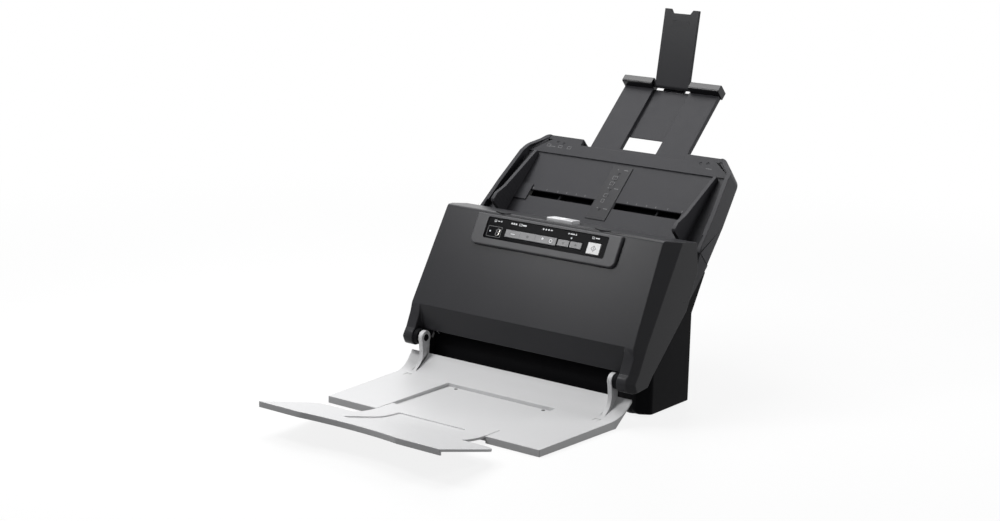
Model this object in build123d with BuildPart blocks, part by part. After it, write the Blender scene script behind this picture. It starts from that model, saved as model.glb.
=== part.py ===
from build123d import *
import os
from math import acos, cos, pi, radians, sin, sqrt, tan

os.makedirs("parts", exist_ok=True)

# Overall sizes of the scanner, in millimetres
unit_half = 140.0
base_inset = 4.0
base_half = unit_half - base_inset
base_floor = 2.5
base_rear_height = 98.0
base_shoulder_behind = 17.0
base_shoulder_height = 126.5
wall = 2.6
seat_gap = 0.2
slide_gap = 0.3
bore_gap = 0.05

# The straight paper path, from the feed tray down to the output slot
path_slope = 43.5
path_behind = 38.0
path_height = 172.5
path_c = cos(radians(path_slope))
path_s = sin(radians(path_slope))

# Hinge line shared by the front unit and the output tray
hinge_ahead = 105.0
hinge_height = 41.0
pin_r = 3.5
pin_outer_x = unit_half - 4.0
knuckle_r = 9.5
knuckle_inner_x = unit_half - 16.0
ear_thickness = 5.0
ear_outer_x = knuckle_inner_x - 1.0
ear_inner_x = ear_outer_x - ear_thickness
ear_r = 8.0
arm_thickness = 5.0
arm_outer_x = ear_inner_x - 1.0
arm_inner_x = arm_outer_x - arm_thickness
arm_ring_r = 7.0
pin_inner_x = arm_inner_x - 0.5

# Front unit outline
face_top_ahead = 51.0
face_top_height = 168.0
crease_ahead = 102.0
crease_height = 74.0
lip_ahead = 97.0
lip_height = 47.0
top_back_ahead = 7.0
top_back_height = 161.0
rear_low_ahead = 3.0
rear_low_height = 132.0
seam_n = -15.2
base_top_n = -16.0
seam_back_v = -95.0
seam_front_v = -172.0

# Paper guides on both sides of the path
guide_plate = 1.2
lower_guide_n = -0.8
upper_guide_n = 0.8
upper_plate = 1.6
guide_low_v = -181.5
upper_low_v = -179.8

# Rollers, all the same size so that one flat belt drives them
roller_r = 9.0
shaft_r = 2.5
idler_shaft_r = 2.0
pulley_r = 6.5
belt_gap = 0.2
belt_thickness = 1.0
nip_half_gap = 0.15
roller_n = roller_r + nip_half_gap
feed_v = -80.0
register_v = -104.0
eject_v = -162.0
frame_inner_x = base_half - 22.5
frame_plate = 2.0
bush_r = 4.5
belt_width = 4.0
belt_inner_x = frame_inner_x + frame_plate + 2.0
belt_outer_x = belt_inner_x + belt_width
motor_belt_inner_x = belt_outer_x + 2.5
motor_belt_outer_x = motor_belt_inner_x + belt_width

# Motor inside the base
motor_ahead = 40.0
motor_height = 40.0
motor_r = 17.0
motor_length = 50.0
motor_pulley_r = 5.0

# Scan units facing each other across the path
scan_half_x = frame_inner_x - 1.5
scan_v = -130.0
scan_half_v = 9.5
scan_depth = 20.0
glass_half_v = 5.0
glass_half_x = scan_half_x - 3.0

# Output tray
tray_back_ahead = 101.0
tray_bend_ahead = 130.0
tray_side_ahead = 126.0
tray_front_ahead = 236.0
tray_back_half = base_half - 2.0
tray_side_half = base_half - 6.0
tray_front_half = base_half - 10.3
tray_back_top = 24.5
tray_bend_top = 8.0
tray_front_top = 7.0
tray_plate = 2.5
recess_half = 65.0
recess_back_ahead = 127.5
recess_deep = 2.6
pan_plate = 2.2
pan_top = tray_front_top - recess_deep

# Output extension
neck_plate = 2.4
neck_rear_ahead = 213.0
neck_bend_ahead = 231.0
bend_r = 165.0
incline = radians(14.0)
head_half = 105.5
head_depth = 82.0
lip_plate = 2.2
lip_drop = 5.5
front_notch_half = 58.0
front_notch_deep = 8.0
panel_half = 40.0
panel_deep = 1.3

# Feed tray, along the slope (v) and square to it (n)
feed_low_v = -42.0
feed_top_v = 75.0
feed_low_half = unit_half - 3.0
feed_mid_v = 5.0
feed_mid_half = feed_low_half - 4.0
feed_shoulder_v = 57.0
feed_shoulder_half = feed_low_half - 11.0
feed_corner_half = feed_low_half - 28.0
feed_plate = 2.5
rim_n = 8.0
rim_width = 5.0
rim_fall_v = 46.0
rim_end_rise = 1.0
ledge_v = 52.0
ledge_n = 1.5
tray_under_n = -14.5
slot_half = 4.0
slot_inner_x = 13.0
guide_face_x = feed_low_half - 29.0
slot_outer_x = guide_face_x - 3.0

# Paper guides with racks and pinion
guide_wall = 4.0
guide_low = -34.0
guide_high = 50.0
tooth_module = 1.0
pinion_teeth = 18
pinion_r = tooth_module * pinion_teeth / 2
rack_low_n = -5.8
rack_top_n = -3.2
tooth_backlash = 0.2
pressure_angle = 20.0

# Tray extension, crossbar and flip-up support
extension_half = 58.0
extension_low_n = -12.2
extension_top_n = -7.2
extension_low_v = 25.0
extension_top_v = 158.8
extension_recess_half = 22.0
extension_recess_low_v = 75.5
grip_hole_top_v = 95.0
recess_floor = 1.4
bar_half = extension_half + 1.5
bar_low_v = 159.0
bar_top_v = 168.0
bar_low_n = -13.5
bar_top_n = 0.5
flip_v = 164.3
flip_n = -7.0
flip_half = 21.0
flip_plate = 3.0
flip_length = 80.5
flip_angle = 80.0
flip_barrel_r = 3.5
flip_pin_r = 1.5
flip_offset = 0.5

# Console on the front face, s is measured up the face from the crease
bezel_half = 87.0
bezel_low_s = 71.0
bezel_top_s = 103.4
bezel_height = 3.2
window_half = 72.5
window_low_s = 78.5
window_top_s = 100.5
window_plate = 2.2
key_travel = 0.8
key_gap = 0.3
key_proud = 0.8


# How far the extensions reach in front of and behind the back of the base,
# with the origin in the middle between the two
output_reach = 352.0
flip_c = cos(radians(flip_angle))
flip_s = sin(radians(flip_angle))
flip_behind = path_behind + flip_v * path_c - flip_n * path_s
support_reach = flip_behind + flip_length * flip_c - flip_offset * flip_s
base_back = (output_reach - support_reach) / 2
path_y = base_back + path_behind


def ahead(distance):
    """Y of a place that lies this far in front of the back of the base."""
    return base_back - distance


def on_path(v, n):
    """(Y, Z) of a place v up the slope and n above the paper."""
    return (path_y + v * path_c - n * path_s, path_height + v * path_s + n * path_c)


def to_path(y, z):
    """(v, n) of a place given by its Y and Z."""
    dy = y - path_y
    dz = z - path_height
    return (dy * path_c + dz * path_s, dz * path_c - dy * path_s)


hinge = (ahead(hinge_ahead), hinge_height)
face_top = (ahead(face_top_ahead), face_top_height)
crease = (ahead(crease_ahead), crease_height)
lip = (ahead(lip_ahead), lip_height)
top_back = (ahead(top_back_ahead), top_back_height)
rear_low = (ahead(rear_low_ahead), rear_low_height)
motor_v, motor_n = to_path(ahead(motor_ahead), motor_height)
bore_r = pin_r + bore_gap

path_plane = Plane(origin=(0, path_y, path_height), x_dir=(1, 0, 0), z_dir=(0, -path_s, path_c))
path_side = Plane(origin=(0, path_y, path_height), x_dir=(0, path_c, path_s), z_dir=(1, 0, 0))
face_rise = face_top_height - crease_height
face_run = crease_ahead - face_top_ahead
face_length = sqrt(face_rise**2 + face_run**2)
face_plane = Plane(
    origin=(0, *crease), x_dir=(1, 0, 0), z_dir=(0, -face_rise / face_length, face_run / face_length)
)


def side_at(x):
    """Plane across the machine at x, with v and n as its own directions."""
    return path_side.offset(x)


def save(part, label):
    """Name a finished piece and write its file."""
    part.label = label
    export_step(part, f"parts/{label}.step")


# Base housing: its side outline cut by its plan outline
with BuildSketch(Plane.YZ) as base_side:
    with BuildLine():
        Polyline(
            (ahead(76), base_floor),
            (ahead(0), base_floor),
            (ahead(0), base_rear_height),
            (ahead(-base_shoulder_behind), base_shoulder_height),
            on_path(-46, base_top_n),
            on_path(seam_front_v - 1, base_top_n),
            (ahead(83.5), 31),
            (ahead(85.5), 20),
            (ahead(82.5), 10),
            close=True,
        )
    make_face()

plan_rear_bevel = 5.0
plan_front_x = base_half - 13.0
with BuildSketch() as base_plan:
    with BuildLine():
        Polyline(
            (-base_half, ahead(-60)),
            (base_half, ahead(-60)),
            (base_half, ahead(70)),
            (plan_front_x, ahead(78.5)),
            (plan_front_x, ahead(95)),
            (-plan_front_x, ahead(95)),
            (-plan_front_x, ahead(78.5)),
            (-base_half, ahead(70)),
            close=True,
        )
    make_face()
    fillet(base_plan.vertices().group_by(Axis.Y)[-2], radius=4)

with BuildPart() as base_cavity:
    with BuildSketch(Plane.YZ):
        add(base_side.sketch_local)
        offset(amount=-wall, kind=Kind.INTERSECTION)
    extrude(amount=base_half, both=True)
    with BuildSketch(Plane.XY):
        add(base_plan.sketch_local)
        offset(amount=-wall, kind=Kind.INTERSECTION)
    extrude(amount=200, mode=Mode.INTERSECT)

plate_top = base_floor + 2.0
opening_half = base_half - 5.0
opening_low_v = -170.3
post_x = base_half - 6.0
post_r = 4.5
post_places = [(x, ahead(d)) for x in (-post_x, post_x) for d in (12, 60)]
screw_r = 1.5
rear_socket_x = 70.0
rear_socket_z = 30.0
socket_width = 26.0
socket_height = 20.0
data_x = 20.0
data_size = 13.0
switch_x = -60.0
switch_width = 14.0
switch_height = 22.0
vent_z = base_rear_height - 26.0

with BuildPart() as base_housing:
    extrude(base_side.sketch, amount=base_half, both=True)
    with BuildSketch(Plane.XY):
        add(base_plan.sketch_local)
    extrude(amount=200, mode=Mode.INTERSECT)
    rear_edges = base_housing.edges().filter_by(Axis.Z).sort_by(Axis.Y)[-2:]
    chamfer(rear_edges, length=plan_rear_bevel)
    add(base_cavity.part, mode=Mode.SUBTRACT)
    with BuildSketch(Plane.XY):
        with BuildLine():
            Polyline(
                (-base_half + wall, ahead(wall)),
                (base_half - wall, ahead(wall)),
                (base_half - wall, ahead(67)),
                (plan_front_x - wall, ahead(73.5)),
                (-plan_front_x + wall, ahead(73.5)),
                (-base_half + wall, ahead(67)),
                close=True,
            )
        make_face()
        with Locations((base_half - wall, ahead(wall)), (-base_half + wall, ahead(wall))):
            Rectangle(9, 9, rotation=45, mode=Mode.SUBTRACT)
    extrude(amount=base_floor + 8, mode=Mode.SUBTRACT)
    with BuildSketch(side_at(0)):
        with BuildLine():
            Polyline(
                (opening_low_v, -24), (opening_low_v, -10), (-48, -10), (-48, -17.5), (-60, -24),
                close=True,
            )
        make_face()
    extrude(amount=opening_half, both=True, mode=Mode.SUBTRACT)
    with BuildSketch(Plane.XY.offset(plate_top)):
        with Locations(*post_places):
            Circle(post_r)
    extrude(amount=16)
    with BuildSketch(Plane.XY.offset(plate_top)):
        with Locations(*post_places):
            Circle(screw_r + bore_gap)
    extrude(amount=12, mode=Mode.SUBTRACT)
    with BuildSketch(Plane.XZ.offset(-ahead(5))):
        with Locations((rear_socket_x, rear_socket_z)):
            Rectangle(socket_width + 2 * seat_gap, socket_height + 2 * seat_gap)
        with Locations((data_x, rear_socket_z)):
            Rectangle(data_size + 2 * seat_gap, data_size + 2 * seat_gap)
        with Locations((switch_x, rear_socket_z)):
            Rectangle(switch_width + 2 * seat_gap, switch_height + 2 * seat_gap)
    extrude(amount=-10, mode=Mode.SUBTRACT)
    with BuildSketch(Plane.XZ.offset(-ahead(5))):
        with GridLocations(9, 0, 11, 1):
            with Locations((0, vent_z)):
                SlotOverall(16, 2.4, rotation=90)
    extrude(amount=-10, mode=Mode.SUBTRACT)
save(base_housing.part, "base_housing")

# Bottom plate with board posts, rubber feet and screws
foot_r = 7.0
foot_x = base_half - 24.0
foot_places = [(x, ahead(d)) for x in (-foot_x, foot_x) for d in (16, 64)]
board_posts = [(x, ahead(d)) for x in (-85, 15) for d in (18, 58)]
board_low = 12.0
board_post_r = 3.0
head_r = 3.0
head_deep = 1.2
with BuildPart() as bottom_plate:
    with BuildSketch(Plane.XY.offset(base_floor)):
        with BuildLine():
            Polyline(
                (-base_half + wall + seat_gap, ahead(wall + seat_gap + 7)),
                (-base_half + wall + seat_gap + 7, ahead(wall + seat_gap)),
                (base_half - wall - seat_gap - 7, ahead(wall + seat_gap)),
                (base_half - wall - seat_gap, ahead(wall + seat_gap + 7)),
                (base_half - wall - seat_gap, ahead(66.5)),
                (plan_front_x - wall - seat_gap, ahead(73)),
                (-plan_front_x + wall + seat_gap, ahead(73)),
                (-base_half + wall + seat_gap, ahead(66.5)),
                close=True,
            )
        make_face()
    extrude(amount=plate_top - base_floor)
    with BuildSketch(Plane.XY.offset(plate_top)):
        with Locations(*board_posts):
            Circle(board_post_r)
    extrude(amount=board_low - plate_top)
    with BuildSketch(Plane.XY.offset(base_floor)):
        with Locations(*post_places):
            Circle(screw_r + bore_gap)
    extrude(amount=plate_top, mode=Mode.SUBTRACT)
    with BuildSketch(Plane.XY.offset(base_floor)):
        with Locations(*post_places):
            Circle(head_r + seat_gap)
    extrude(amount=head_deep, mode=Mode.SUBTRACT)
    with BuildSketch(Plane.XY.offset(base_floor)):
        with Locations((0, ahead(38))):
            with GridLocations(12, 0, 9, 1):
                SlotOverall(26, 3, rotation=90)
    extrude(amount=plate_top, mode=Mode.SUBTRACT)
save(bottom_plate.part, "bottom_plate")

with BuildPart() as rubber_feet:
    with BuildSketch():
        with Locations(*foot_places):
            Circle(foot_r)
    extrude(amount=base_floor)
    foot_rims = rubber_feet.edges().filter_by(GeomType.CIRCLE).group_by(Axis.Z)[0]
    fillet(foot_rims, radius=0.6)
save(rubber_feet.part, "rubber_feet")

with BuildPart() as base_screws:
    with BuildSketch(Plane.XY.offset(base_floor)):
        with Locations(*post_places):
            Circle(head_r)
    extrude(amount=head_deep)
    with BuildSketch(Plane.XY.offset(base_floor)):
        with Locations(*post_places):
            Circle(screw_r)
    extrude(amount=plate_top + 10 - base_floor)
    with BuildSketch(Plane.XY.offset(base_floor)):
        with Locations(*post_places):
            Rectangle(3.6, 0.7)
            Rectangle(0.7, 3.6)
    extrude(amount=0.7, mode=Mode.SUBTRACT)
save(base_screws.part, "base_screws")

# Hinge brackets on the front corners of the base, with their pins
with BuildSketch(Plane.YZ) as ear_profile:
    with BuildLine():
        Polyline(
            (ahead(100), 36),
            (ahead(101.5), 30.3),
            (ahead(98.3), 25),
            (ahead(91), 12),
            (ahead(84), 5.5),
            (ahead(82.5) - seat_gap, 10),
            (ahead(85.5) - seat_gap, 20),
            (ahead(83.5) - seat_gap, 31),
            (ahead(83) - seat_gap, 34),
            (ahead(99), 44),
            close=True,
        )
    make_face()
    with Locations(hinge):
        Circle(ear_r)
for side, label in ((-1, "hinge_bracket_left"), (1, "hinge_bracket_right")):
    inner_x = min(side * ear_inner_x, side * ear_outer_x)
    with BuildPart() as hinge_bracket:
        with BuildSketch(Plane.YZ.offset(inner_x)):
            add(ear_profile.sketch_local)
        extrude(amount=ear_outer_x - ear_inner_x)
        with BuildSketch(Plane.YZ.offset(inner_x)):
            with Locations(hinge):
                Circle(pin_r + bore_gap / 2)
        extrude(amount=ear_outer_x - ear_inner_x, mode=Mode.SUBTRACT)
    save(hinge_bracket.part, label)

with BuildPart() as hinge_pins:
    for start_x in (-pin_outer_x, pin_inner_x):
        with BuildSketch(Plane.YZ.offset(start_x)):
            with Locations(hinge):
                Circle(pin_r)
        extrude(amount=pin_outer_x - pin_inner_x)
    chamfer(hinge_pins.edges().filter_by(GeomType.CIRCLE), length=0.5)
save(hinge_pins.part, "hinge_pins")

# Lower frame: two side plates on the bottom plate, joined by cross ties
strike_v = -60.5
strike_n = 3.5
with BuildSketch(Plane.YZ) as frame_profile:
    with BuildLine():
        Polyline(
            (ahead(71), plate_top),
            (ahead(10), plate_top),
            (ahead(10), 78),
            on_path(-84, -24),
            on_path(-58, -16.5),
            on_path(-58, strike_n + 1.5),
            on_path(-62, strike_n + 1.5),
            on_path(-62, -2.6),
            on_path(-178, -2.6),
            on_path(-178, -13.5),
            on_path(-169, -13.5),
            on_path(-169, -20),
            (ahead(71), 24),
            close=True,
        )
    make_face()
shaft_places = [on_path(v, -roller_n) for v in (feed_v, register_v, eject_v)]
tie_places = [(-84, -21), (-116, -31)]
with BuildPart() as lower_frame:
    for start_x in (-frame_inner_x - frame_plate, frame_inner_x):
        with BuildSketch(Plane.YZ.offset(start_x)):
            add(frame_profile.sketch_local)
            with Locations(*shaft_places):
                Circle(bush_r + bore_gap, mode=Mode.SUBTRACT)
            with Locations((ahead(motor_ahead), motor_height)):
                Circle(8, mode=Mode.SUBTRACT)
            with Locations((ahead(20), 40), (ahead(58), 22)):
                Circle(7, mode=Mode.SUBTRACT)
        extrude(amount=frame_plate)
    with BuildSketch(side_at(0)):
        for place in tie_places:
            with Locations(place):
                Rectangle(8, 3)
        with Locations((scan_v, -2.2 - scan_depth - seat_gap - 1)):
            Rectangle(24, 2)
    extrude(amount=frame_inner_x + 0.1, both=True)
    with BuildSketch(Plane.XY.offset(plate_top)):
        with Locations((-frame_inner_x + 8, ahead(38)), (frame_inner_x - 8, ahead(38))):
            Rectangle(17, 24)
    extrude(amount=1.6)
    for start_x in (-frame_inner_x - frame_plate - 5, frame_inner_x + frame_plate):
        with BuildSketch(side_at(start_x)):
            with Locations((strike_v, strike_n)):
                Circle(1.5)
        extrude(amount=5)
save(lower_frame.part, "lower_frame")

with BuildPart() as shaft_bearings:
    for start_x in (-frame_inner_x - frame_plate - 0.5, frame_inner_x - 0.5):
        with BuildSketch(Plane.YZ.offset(start_x)):
            with Locations(*shaft_places):
                Circle(bush_r)
                Circle(shaft_r + bore_gap, mode=Mode.SUBTRACT)
        extrude(amount=frame_plate + 1)
save(shaft_bearings.part, "shaft_bearings")

# Tyre places along each shaft, as (middle, length)
feed_tyre_x = [(-14.0, 18.0), (14.0, 18.0)]
register_tyre_x = [(-88.0, 14.0), (-36.0, 14.0), (36.0, 14.0), (88.0, 14.0)]
eject_tyre_x = [(-60.0, 16.0), (-22.0, 16.0), (22.0, 16.0), (60.0, 16.0)]
roller_rows = [(feed_v, feed_tyre_x), (register_v, register_tyre_x), (eject_v, eject_tyre_x)]
window_margin = 1.5

lower_guide_half = frame_inner_x - 1.5
flange_low_v = guide_low_v + 5.5
flange_high_v = feed_v + 16.0
with BuildPart() as lower_guide:
    with BuildSketch(path_plane.offset(lower_guide_n - guide_plate)):
        with Locations((0, (guide_low_v + feed_low_v) / 2)):
            Rectangle(2 * lower_guide_half, feed_low_v - seat_gap - guide_low_v)
        for row_v, row in roller_rows:
            for middle_x, length in row:
                with Locations((middle_x, row_v)):
                    Rectangle(length + 2 * window_margin, 13, mode=Mode.SUBTRACT)
        with Locations((0, scan_v)):
            Rectangle(2 * (glass_half_x + seat_gap), 2 * (glass_half_v + seat_gap), mode=Mode.SUBTRACT)
    extrude(amount=guide_plate)
    for start_x in (-lower_guide_half, lower_guide_half - 1.5):
        with BuildSketch(side_at(start_x)):
            with Locations(((flange_low_v + flange_high_v) / 2, -5)):
                Rectangle(flange_high_v - flange_low_v, 8)
            with Locations(*[(v, -roller_n) for v in (feed_v, register_v, eject_v)]):
                Rectangle(12, 14, mode=Mode.SUBTRACT)
            with Locations((scan_v, -6)):
                Rectangle(24, 9, mode=Mode.SUBTRACT)
        extrude(amount=1.5)
save(lower_guide.part, "lower_guide")

# Driven shafts with their pulleys, and the rubber tyres on them
shaft_end_x = frame_inner_x + 4.5
driven_rows = (
    ("feed", feed_v, feed_tyre_x, motor_belt_outer_x),
    ("register", register_v, register_tyre_x, belt_outer_x),
    ("eject", eject_v, eject_tyre_x, belt_outer_x),
)
for name, row_v, row, far_x in driven_rows:
    with BuildPart() as driven_shaft:
        with BuildSketch(side_at(-shaft_end_x)):
            with Locations((row_v, -roller_n)):
                Circle(shaft_r)
        extrude(amount=shaft_end_x + far_x)
        with BuildSketch(side_at(belt_inner_x - 0.5)):
            with Locations((row_v, -roller_n)):
                Circle(pulley_r)
        extrude(amount=belt_outer_x - belt_inner_x + 1)
        if name == "feed":
            with BuildSketch(side_at(motor_belt_inner_x - 0.5)):
                with Locations((row_v, -roller_n)):
                    Circle(pulley_r)
            extrude(amount=motor_belt_outer_x - motor_belt_inner_x + 1)
        with BuildSketch(side_at(-shaft_end_x)):
            with Locations((row_v + shaft_r, -roller_n)):
                Rectangle(1, 2 * shaft_r)
        extrude(amount=4, mode=Mode.SUBTRACT)
    save(driven_shaft.part, name + "_shaft")
    with BuildPart() as tyres:
        for middle_x, length in row:
            with BuildSketch(side_at(middle_x - length / 2)):
                with Locations((row_v, -roller_n)):
                    Circle(roller_r)
                    Circle(shaft_r + bore_gap, mode=Mode.SUBTRACT)
                    with PolarLocations(roller_r, 12):
                        Circle(0.5, mode=Mode.SUBTRACT)
            extrude(amount=length)
    save(tyres.part, name + "_tyres")

# Belts as closed loops that just clear their pulleys
loop_r = pulley_r + belt_gap
with BuildPart() as drive_belt:
    with BuildSketch(side_at(belt_inner_x)):
        with Locations((feed_v, -roller_n), (eject_v, -roller_n)):
            Circle(loop_r + belt_thickness)
        make_hull()
    extrude(amount=belt_outer_x - belt_inner_x)
    with BuildSketch(side_at(belt_inner_x)):
        with Locations((feed_v, -roller_n), (eject_v, -roller_n)):
            Circle(loop_r)
        make_hull()
    extrude(amount=belt_outer_x - belt_inner_x, mode=Mode.SUBTRACT)
save(drive_belt.part, "drive_belt")

motor_loop_r = motor_pulley_r + belt_gap
with BuildPart() as motor_belt:
    with BuildSketch(side_at(motor_belt_inner_x)):
        with Locations((feed_v, -roller_n)):
            Circle(loop_r + belt_thickness)
        with Locations((motor_v, motor_n)):
            Circle(motor_loop_r + belt_thickness)
        make_hull()
    extrude(amount=motor_belt_outer_x - motor_belt_inner_x)
    with BuildSketch(side_at(motor_belt_inner_x)):
        with Locations((feed_v, -roller_n)):
            Circle(loop_r)
        with Locations((motor_v, motor_n)):
            Circle(motor_loop_r)
        make_hull()
    extrude(amount=motor_belt_outer_x - motor_belt_inner_x, mode=Mode.SUBTRACT)
save(motor_belt.part, "motor_belt")

motor_face_x = frame_inner_x - seat_gap
with BuildPart() as motor:
    with BuildSketch(side_at(motor_face_x - motor_length)):
        with Locations((motor_v, motor_n)):
            Circle(motor_r)
    extrude(amount=motor_length)
    chamfer(motor.edges().filter_by(GeomType.CIRCLE), length=1)
    with BuildSketch(side_at(motor_face_x)):
        with Locations((motor_v, motor_n)):
            Circle(6)
    extrude(amount=frame_plate + 1)
    with BuildSketch(side_at(motor_face_x - 20)):
        with Locations((motor_v, motor_n)):
            Circle(shaft_r + bore_gap)
    extrude(amount=40, mode=Mode.SUBTRACT)
save(motor.part, "motor")

with BuildPart() as motor_pulley:
    with BuildSketch(side_at(motor_face_x - 18)):
        with Locations((motor_v, motor_n)):
            Circle(shaft_r)
    extrude(amount=motor_belt_outer_x + 0.5 - motor_face_x + 18)
    with BuildSketch(side_at(motor_belt_inner_x - 0.5)):
        with Locations((motor_v, motor_n)):
            Circle(motor_pulley_r)
    extrude(amount=motor_belt_outer_x - motor_belt_inner_x + 1)
    with BuildSketch(side_at(motor_belt_outer_x)):
        with Locations((motor_v + shaft_r, motor_n)):
            Rectangle(1, 2 * shaft_r)
    extrude(amount=0.5, mode=Mode.SUBTRACT)
save(motor_pulley.part, "motor_pulley")

# Scan units and their glass, below and above the paper
unit_n = abs(lower_guide_n) + guide_plate + seat_gap
with BuildPart() as lower_scan_unit:
    with BuildSketch(path_plane.offset(-unit_n - scan_depth)):
        with Locations((0, scan_v)):
            Rectangle(2 * (scan_half_x - 2), 2 * scan_half_v)
    extrude(amount=scan_depth)
    with BuildSketch(path_plane.offset(-unit_n - 8)):
        with Locations((0, scan_v)):
            Rectangle(2 * glass_half_x - 6, 7)
    extrude(amount=8, mode=Mode.SUBTRACT)
save(lower_scan_unit.part, "lower_scan_unit")

with BuildPart() as lower_scan_glass:
    with BuildSketch(path_plane.offset(-unit_n)):
        with Locations((0, scan_v)):
            Rectangle(2 * glass_half_x, 2 * glass_half_v)
    extrude(amount=unit_n + lower_guide_n)
save(lower_scan_glass.part, "lower_scan_glass")

upper_unit_n = upper_guide_n + upper_plate + seat_gap
with BuildPart() as upper_scan_unit:
    with BuildSketch(path_plane.offset(upper_unit_n)):
        with Locations((0, scan_v)):
            Rectangle(2 * scan_half_x, 2 * scan_half_v)
    extrude(amount=scan_depth)
    with BuildSketch(path_plane.offset(upper_unit_n)):
        with Locations((0, scan_v)):
            Rectangle(2 * glass_half_x - 6, 7)
    extrude(amount=8, mode=Mode.SUBTRACT)
save(upper_scan_unit.part, "upper_scan_unit")

with BuildPart() as upper_scan_glass:
    with BuildSketch(path_plane.offset(upper_guide_n)):
        with Locations((0, scan_v)):
            Rectangle(2 * glass_half_x, 2 * glass_half_v)
    extrude(amount=upper_unit_n - upper_guide_n)
save(upper_scan_glass.part, "upper_scan_glass")

# Main board and the sockets behind
board_thick = 1.6
with BuildPart() as main_board:
    with BuildSketch(Plane.XY.offset(board_low)):
        with Locations((-35, ahead(38))):
            Rectangle(120, 52)
    extrude(amount=board_thick)
    with BuildSketch(Plane.XY.offset(board_low + board_thick)):
        with Locations((-50, ahead(36)), (-20, ahead(44))):
            Rectangle(16, 16)
        with Locations((-80, ahead(30)), (5, ahead(52))):
            Rectangle(8, 12)
    extrude(amount=2.2)
    with BuildSketch(Plane.XY.offset(board_low + board_thick)):
        with Locations((12, ahead(34)), (-70, ahead(52))):
            Circle(4)
    extrude(amount=9)
save(main_board.part, "main_board")

socket_deep = 18.0
back_plane = Plane.XZ.offset(-ahead(0))
with BuildPart() as power_inlet:
    with BuildSketch(back_plane):
        with Locations((rear_socket_x, rear_socket_z)):
            RectangleRounded(socket_width, socket_height, 2)
    extrude(amount=socket_deep)
    with BuildSketch(back_plane):
        with Locations((rear_socket_x, rear_socket_z)):
            RectangleRounded(socket_width - 6, socket_height - 6, 1.5)
    extrude(amount=14, mode=Mode.SUBTRACT)
    with BuildSketch(back_plane.offset(6)):
        with Locations((rear_socket_x - 5, rear_socket_z), (rear_socket_x + 5, rear_socket_z)):
            Circle(1.2)
    extrude(amount=8.5)
save(power_inlet.part, "power_inlet")

with BuildPart() as data_port:
    with BuildSketch(back_plane):
        with Locations((data_x, rear_socket_z)):
            Rectangle(data_size, data_size)
    extrude(amount=socket_deep)
    with BuildSketch(back_plane):
        with Locations((data_x, rear_socket_z)):
            Rectangle(9, 8)
    extrude(amount=12, mode=Mode.SUBTRACT)
    with BuildSketch(back_plane.offset(5)):
        with Locations((data_x, rear_socket_z)):
            Rectangle(5.4, 3)
    extrude(amount=7.5)
save(data_port.part, "data_port")

rocker_half = 8.0
rocker_pin_r = 1.2
with BuildPart() as switch_frame:
    with BuildSketch(back_plane):
        with Locations((switch_x, rear_socket_z)):
            Rectangle(switch_width, switch_height)
    extrude(amount=14)
    with BuildSketch(back_plane):
        with Locations((switch_x, rear_socket_z)):
            Rectangle(switch_width - 3, switch_height - 3)
    extrude(amount=11, mode=Mode.SUBTRACT)
    with BuildSketch(Plane.YZ.offset(switch_x - switch_width / 2)):
        with Locations((ahead(5), rear_socket_z)):
            Circle(rocker_pin_r + bore_gap)
    extrude(amount=switch_width, mode=Mode.SUBTRACT)
save(switch_frame.part, "switch_frame")

with BuildPart() as power_rocker:
    with BuildSketch(Plane.YZ.offset(switch_x - switch_width / 2 + 1.8)):
        with BuildLine():
            Polyline(
                (ahead(8.5), rear_socket_z - 4),
                (ahead(1.2), rear_socket_z - rocker_half),
                (ahead(0.6), rear_socket_z),
                (ahead(-1.6), rear_socket_z + rocker_half),
                (ahead(8.5), rear_socket_z + 4),
                close=True,
            )
        make_face()
    extrude(amount=switch_width - 3.6)
    with BuildSketch(Plane.YZ.offset(switch_x - switch_width / 2 + 0.3)):
        with Locations((ahead(5), rear_socket_z)):
            Circle(rocker_pin_r)
    extrude(amount=switch_width - 0.6)
save(power_rocker.part, "power_rocker")

# Front cover: side outline, bevelled front corners, hollow inside
nose_low = (hinge[0], hinge[1] - knuckle_r)
nose_front = (hinge[0] - knuckle_r, hinge[1])
nose_high = (hinge[0] - knuckle_r / 2, hinge[1] + knuckle_r * sqrt(3) / 2)
nose_brow = (ahead(103), 64)
with BuildSketch(Plane.YZ) as cover_profile:
    with BuildLine():
        Polyline(
            nose_high,
            nose_brow,
            crease,
            face_top,
            top_back,
            rear_low,
            on_path(seam_back_v, seam_n),
            on_path(seam_front_v, seam_n),
            (ahead(84), 33.5),
            nose_low,
        )
        ThreePointArc(nose_low, nose_front, nose_high)
    make_face()
    top_corners = cover_profile.vertices().group_by(Axis.Y)[-1]
    fillet(top_corners, radius=5)

# Bevel of the front corners: width, depth at a height on the front outline
bevel_steps = (
    (30.0, 109.5, 5.0, 8.0),
    (41.0, 114.5, 5.0, 8.0),
    (50.0, 110.0, 5.5, 10.0),
    (crease_height, crease_ahead, 6.0, 14.0),
    (face_top_height + 3, face_top_ahead - 3 * face_run / face_rise, 10.0, 20.0),
)
with BuildPart() as corner_bevel:
    for height, distance, width, depth in bevel_steps:
        with BuildSketch(Plane.XY.offset(height)):
            with BuildLine():
                Polyline(
                    (unit_half - width * 1.6, ahead(distance) - depth * 0.6),
                    (unit_half + width * 0.6, ahead(distance) + depth * 1.6),
                    (unit_half + width * 0.6, ahead(distance) - depth * 0.6),
                    close=True,
                )
            make_face()
    loft(ruled=True)

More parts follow.
